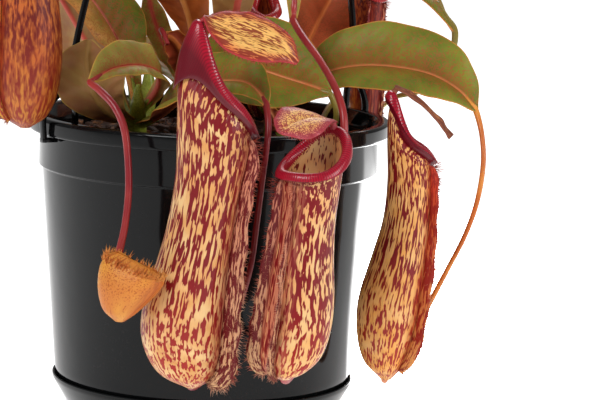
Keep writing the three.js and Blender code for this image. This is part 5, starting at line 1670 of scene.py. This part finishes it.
@dataclass(frozen=True)
class Hanger:
    """The moulded hanger: two strip arms clipped over the rim, joined under an open hook.

    Attributes:
        width: the strips' width.
        thickness: the strips' thickness.
        fork: the height at which an arm forks into its clip.
        join: the height at which the arms meet.
        hook: the hook's radius.
    """

    width: float = 3.4
    thickness: float = 1.9
    fork: float = 140.0
    join: float = 352.0
    hook: float = 11.0

    def strip(self, mould: Mould, points: Rows, angle: float, steps: int,
              width: Optional[float] = None) -> None:
        """Adds a strip with rounded edges along points of x and z, turned about the upright axis.

        Its section is a rectangle with corners drawn in by a superellipse of power 5.

        Args:
            mould: where it goes.
            points: x and z of its middle.
            angle: its turn in degrees.
            steps: stretches along it.
            width: its width, where it isn't the arms'.
        """
        rows = [[x, 0.0, z] for x, z in points]
        t = np.linspace(0, 1, steps + 1)
        path = along(rows, t)[:, :3]
        ahead = heading(rows, t)
        across = np.array([0.0, 1.0, 0.0])
        normal = np.cross(ahead, across)
        c, s = np.cos(even_turns(20)), np.sin(even_turns(20))
        grow = 1 / (np.abs(c) ** 5 + np.abs(s) ** 5) ** 0.2
        a, b = (width or self.width) / 2 * c * grow, self.thickness / 2 * s * grow
        rings = path[:, None] + across * a[None, :, None] + normal[:, None] * b[None, :, None]
        rings[..., 0], rings[..., 1] = spun(rings[..., 0], rings[..., 1], angle)
        mould.add_rings(rings)

    def add_arm(self, mould: Mould, foot: float, angle: float, bend: float) -> None:
        """Adds one arm and the clip that holds it to the rim.

        The arm's distance from the axis is 2.5 plus the rest of the foot's times one minus the
        height's share to the power of the bend.

        Args:
            mould: where it goes.
            foot: its distance from the axis at the fork.
            angle: its turn in degrees.
            bend: how late it bends in.
        """
        shares = np.array([0, 0.12, 0.3, 0.5, 0.7, 0.87, 1])
        spread = 2.5 + (foot - 2.5) * (1 - shares ** bend)
        rise = self.fork + (self.join - self.fork) * shares
        self.strip(mould, np.column_stack([spread, rise]).tolist(), angle, 60)
        outside = RIM_RADIUS + RIM_GAP + self.thickness / 2
        self.strip(mould, [[foot, self.fork + 2], [foot + 3, self.fork - 3], [outside, 128], [outside, 116.1]],
                   angle, 30)
        self.strip(mould, [[foot, self.fork + 2], [foot - 2.5, self.fork - 5], [foot - 3.5, 120]], angle, 20)
        tab = BAND_FOOT - BAND_GAP - self.thickness / 2
        self.strip(mould, [[outside + self.thickness / 2, tab], [71.2, tab]], angle, 2)

    def dress(self) -> bpy.types.Object:
        """Builds the hanger.

        Returns:
            The finished object.
        """
        mould = Mould()
        self.add_arm(mould, 66, 210, 1.2)
        self.add_arm(mould, 70, 30, 1.8)
        self.strip(mould, [[-6, self.join - 1], [6, self.join - 0.9]], 0, 4, 5.0)
        turns = np.radians(-70 + 28 * np.arange(10))
        hook = np.column_stack([self.hook * np.cos(turns), self.join + 24 + self.hook * np.sin(turns)]).tolist()
        self.strip(mould, [[0, self.join - 3], [0.5, self.join + 6], *hook], 0, 80)
        return mould.cast("hanger_moulded", [BLACK_PLASTIC.material()], ["hanger"], "black_plastic")


# ---------------------------------------------------------------- studio

WHITE = (1.0, 1.0, 1.0, 1.0)
IMAGE_WIDTH = 600  # pixels
SENSOR_WIDTH = 36.0
FLOOR_REACH = 8  # metres from the plant to each edge


@dataclass(frozen=True)
class Studio:
    """The pale floor, which glows with painted light behind the plant, the soft lights and the camera.

    Attributes:
        place: the camera's place in millimetres.
        focal: the focal length in pixels of a 600 pixel wide image.
        yaw: degrees to the right.
        pitch: degrees up.
        roll: degrees by which the right side hangs lower.
        painted_light_pool: how much brighter the floor's painted glow is behind the plant on the right.
    """

    place: tuple[float, float, float] = (0.0, -1200.0, 264.9)
    focal: float = 2903.0
    yaw: float = 1.85
    pitch: float = -8.28
    roll: float = 1.99
    painted_light_pool: float = 8.0

    def set_camera(self) -> None:
        """Makes the camera from its directions: ahead, then right, then up, then rolled."""
        yaw, pitch, roll = (math.radians(v) for v in (self.yaw, self.pitch, self.roll))
        ahead = Vector((math.sin(yaw) * math.cos(pitch), math.cos(yaw) * math.cos(pitch), math.sin(pitch)))
        right = ahead.cross(Vector((0, 0, 1))).normalized()
        up = right.cross(ahead)
        cam_right = right * math.cos(roll) + up * math.sin(roll)
        cam_up = up * math.cos(roll) - right * math.sin(roll)
        data = bpy.data.cameras.new("camera")
        data.sensor_width = SENSOR_WIDTH
        data.lens = self.focal / IMAGE_WIDTH * SENSOR_WIDTH
        data.clip_end = 50.0
        camera = new_object("camera", data)
        turn = Matrix((cam_right, cam_up, -ahead)).transposed().to_4x4()
        camera.matrix_world = Matrix.Translation(Vector(self.place) * MM) @ turn
        bpy.context.scene.camera = camera

    def add_light(self, name: str, place: tuple[float, float, float], size: float, power: float) -> None:
        """Adds one square soft light that points at the middle of the plant.

        Args:
            name: its name.
            place: its place in metres.
            size: its side in metres.
            power: its power in watts.
        """
        data = bpy.data.lights.new(name, "AREA")
        data.size, data.energy = size, power
        light = new_object(name, data)
        light.location = place
        light.rotation_euler = (Vector((0, 0, 0.15)) - Vector(place)).to_track_quat("-Z", "Y").to_euler()

    def set_stage(self) -> None:
        """Makes the floor, whose painted glow is brighter behind the plant than before it, and the world's even
        light.
        """
        mesh = bpy.data.meshes.new("floor")
        corners = [(x * FLOOR_REACH, y * FLOOR_REACH, 0) for x, y in ((-1, -1), (1, -1), (1, 1), (-1, 1))]
        mesh.from_pydata(corners, [], [(0, 1, 2, 3)])
        paper = bpy.data.materials.new("white_studio_paper")
        paper.use_nodes = True
        tree = paper.node_tree
        add = partial(add_node, tree)
        where = add("TexCoord").outputs["Object"]
        across, back, _ = add("SeparateXYZ", [where]).outputs
        # Painted light: the floor glows by itself, more behind the plant than before it and most in a pool
        # close behind the plant on the right.
        behind = add("MapRange", [back, -0.7, 0.03, 0.2, 0.85], interpolation_type="SMOOTHSTEP")
        aside = add("VectorMath", [where, (-0.574, 0.819, 0.0)], operation="DOT_PRODUCT")
        sector = add("MapRange", [aside, -0.01, 0.03])
        right = add("MapRange", [across, 0.02, 0.07])
        away = add("VectorMath", [where], operation="LENGTH")
        near = add("MapRange", [away, 0.35, 0.7, self.painted_light_pool, 0.0])
        part = add("Math", [sector, right], operation="MULTIPLY")
        painted_floor_glow = add("Math", [part, near, behind], operation="MULTIPLY_ADD")
        fill_inputs(tree, tree.nodes["Principled BSDF"], {
            "Base Color": "#dedede", "Roughness": 0.95, "Emission Color": WHITE, "Emission Strength": painted_floor_glow})
        mesh.materials.append(paper)
        new_object("floor", mesh)
        world = bpy.data.worlds.new("studio")
        world.use_nodes = True
        fill_inputs(world.node_tree, world.node_tree.nodes["Background"], [WHITE, 0.22])
        bpy.context.scene.world = world
        bpy.context.scene.view_settings.view_transform = "Standard"

    def build(self) -> None:
        """Makes the whole studio."""
        self.set_camera()
        self.set_stage()
        self.add_light("key_light", (-0.9, -1.3, 1.3), 0.8, 20)
        self.add_light("side_light", (1.4, -0.9, 0.7), 0.6, 11)
        self.add_light("back_light", (0.3, 1.4, 1.4), 0.9, 13)


def main() -> None:
    """Builds the plant piece by piece."""
    logging.basicConfig(level=logging.INFO, format="%(message)s")
    Studio().build()
    make_pot().dress()
    make_saucer().dress()
    SoilBed().dress()
    Hanger().dress()
    leaves = make_leaves()
    for stem in make_stems(leaves):
        stem.dress()
    for leaf in leaves:
        leaf.dress()
    for pitcher in make_pitchers():
        pitcher.dress()
    make_young().dress()


if __name__ == "__main__":
    main()
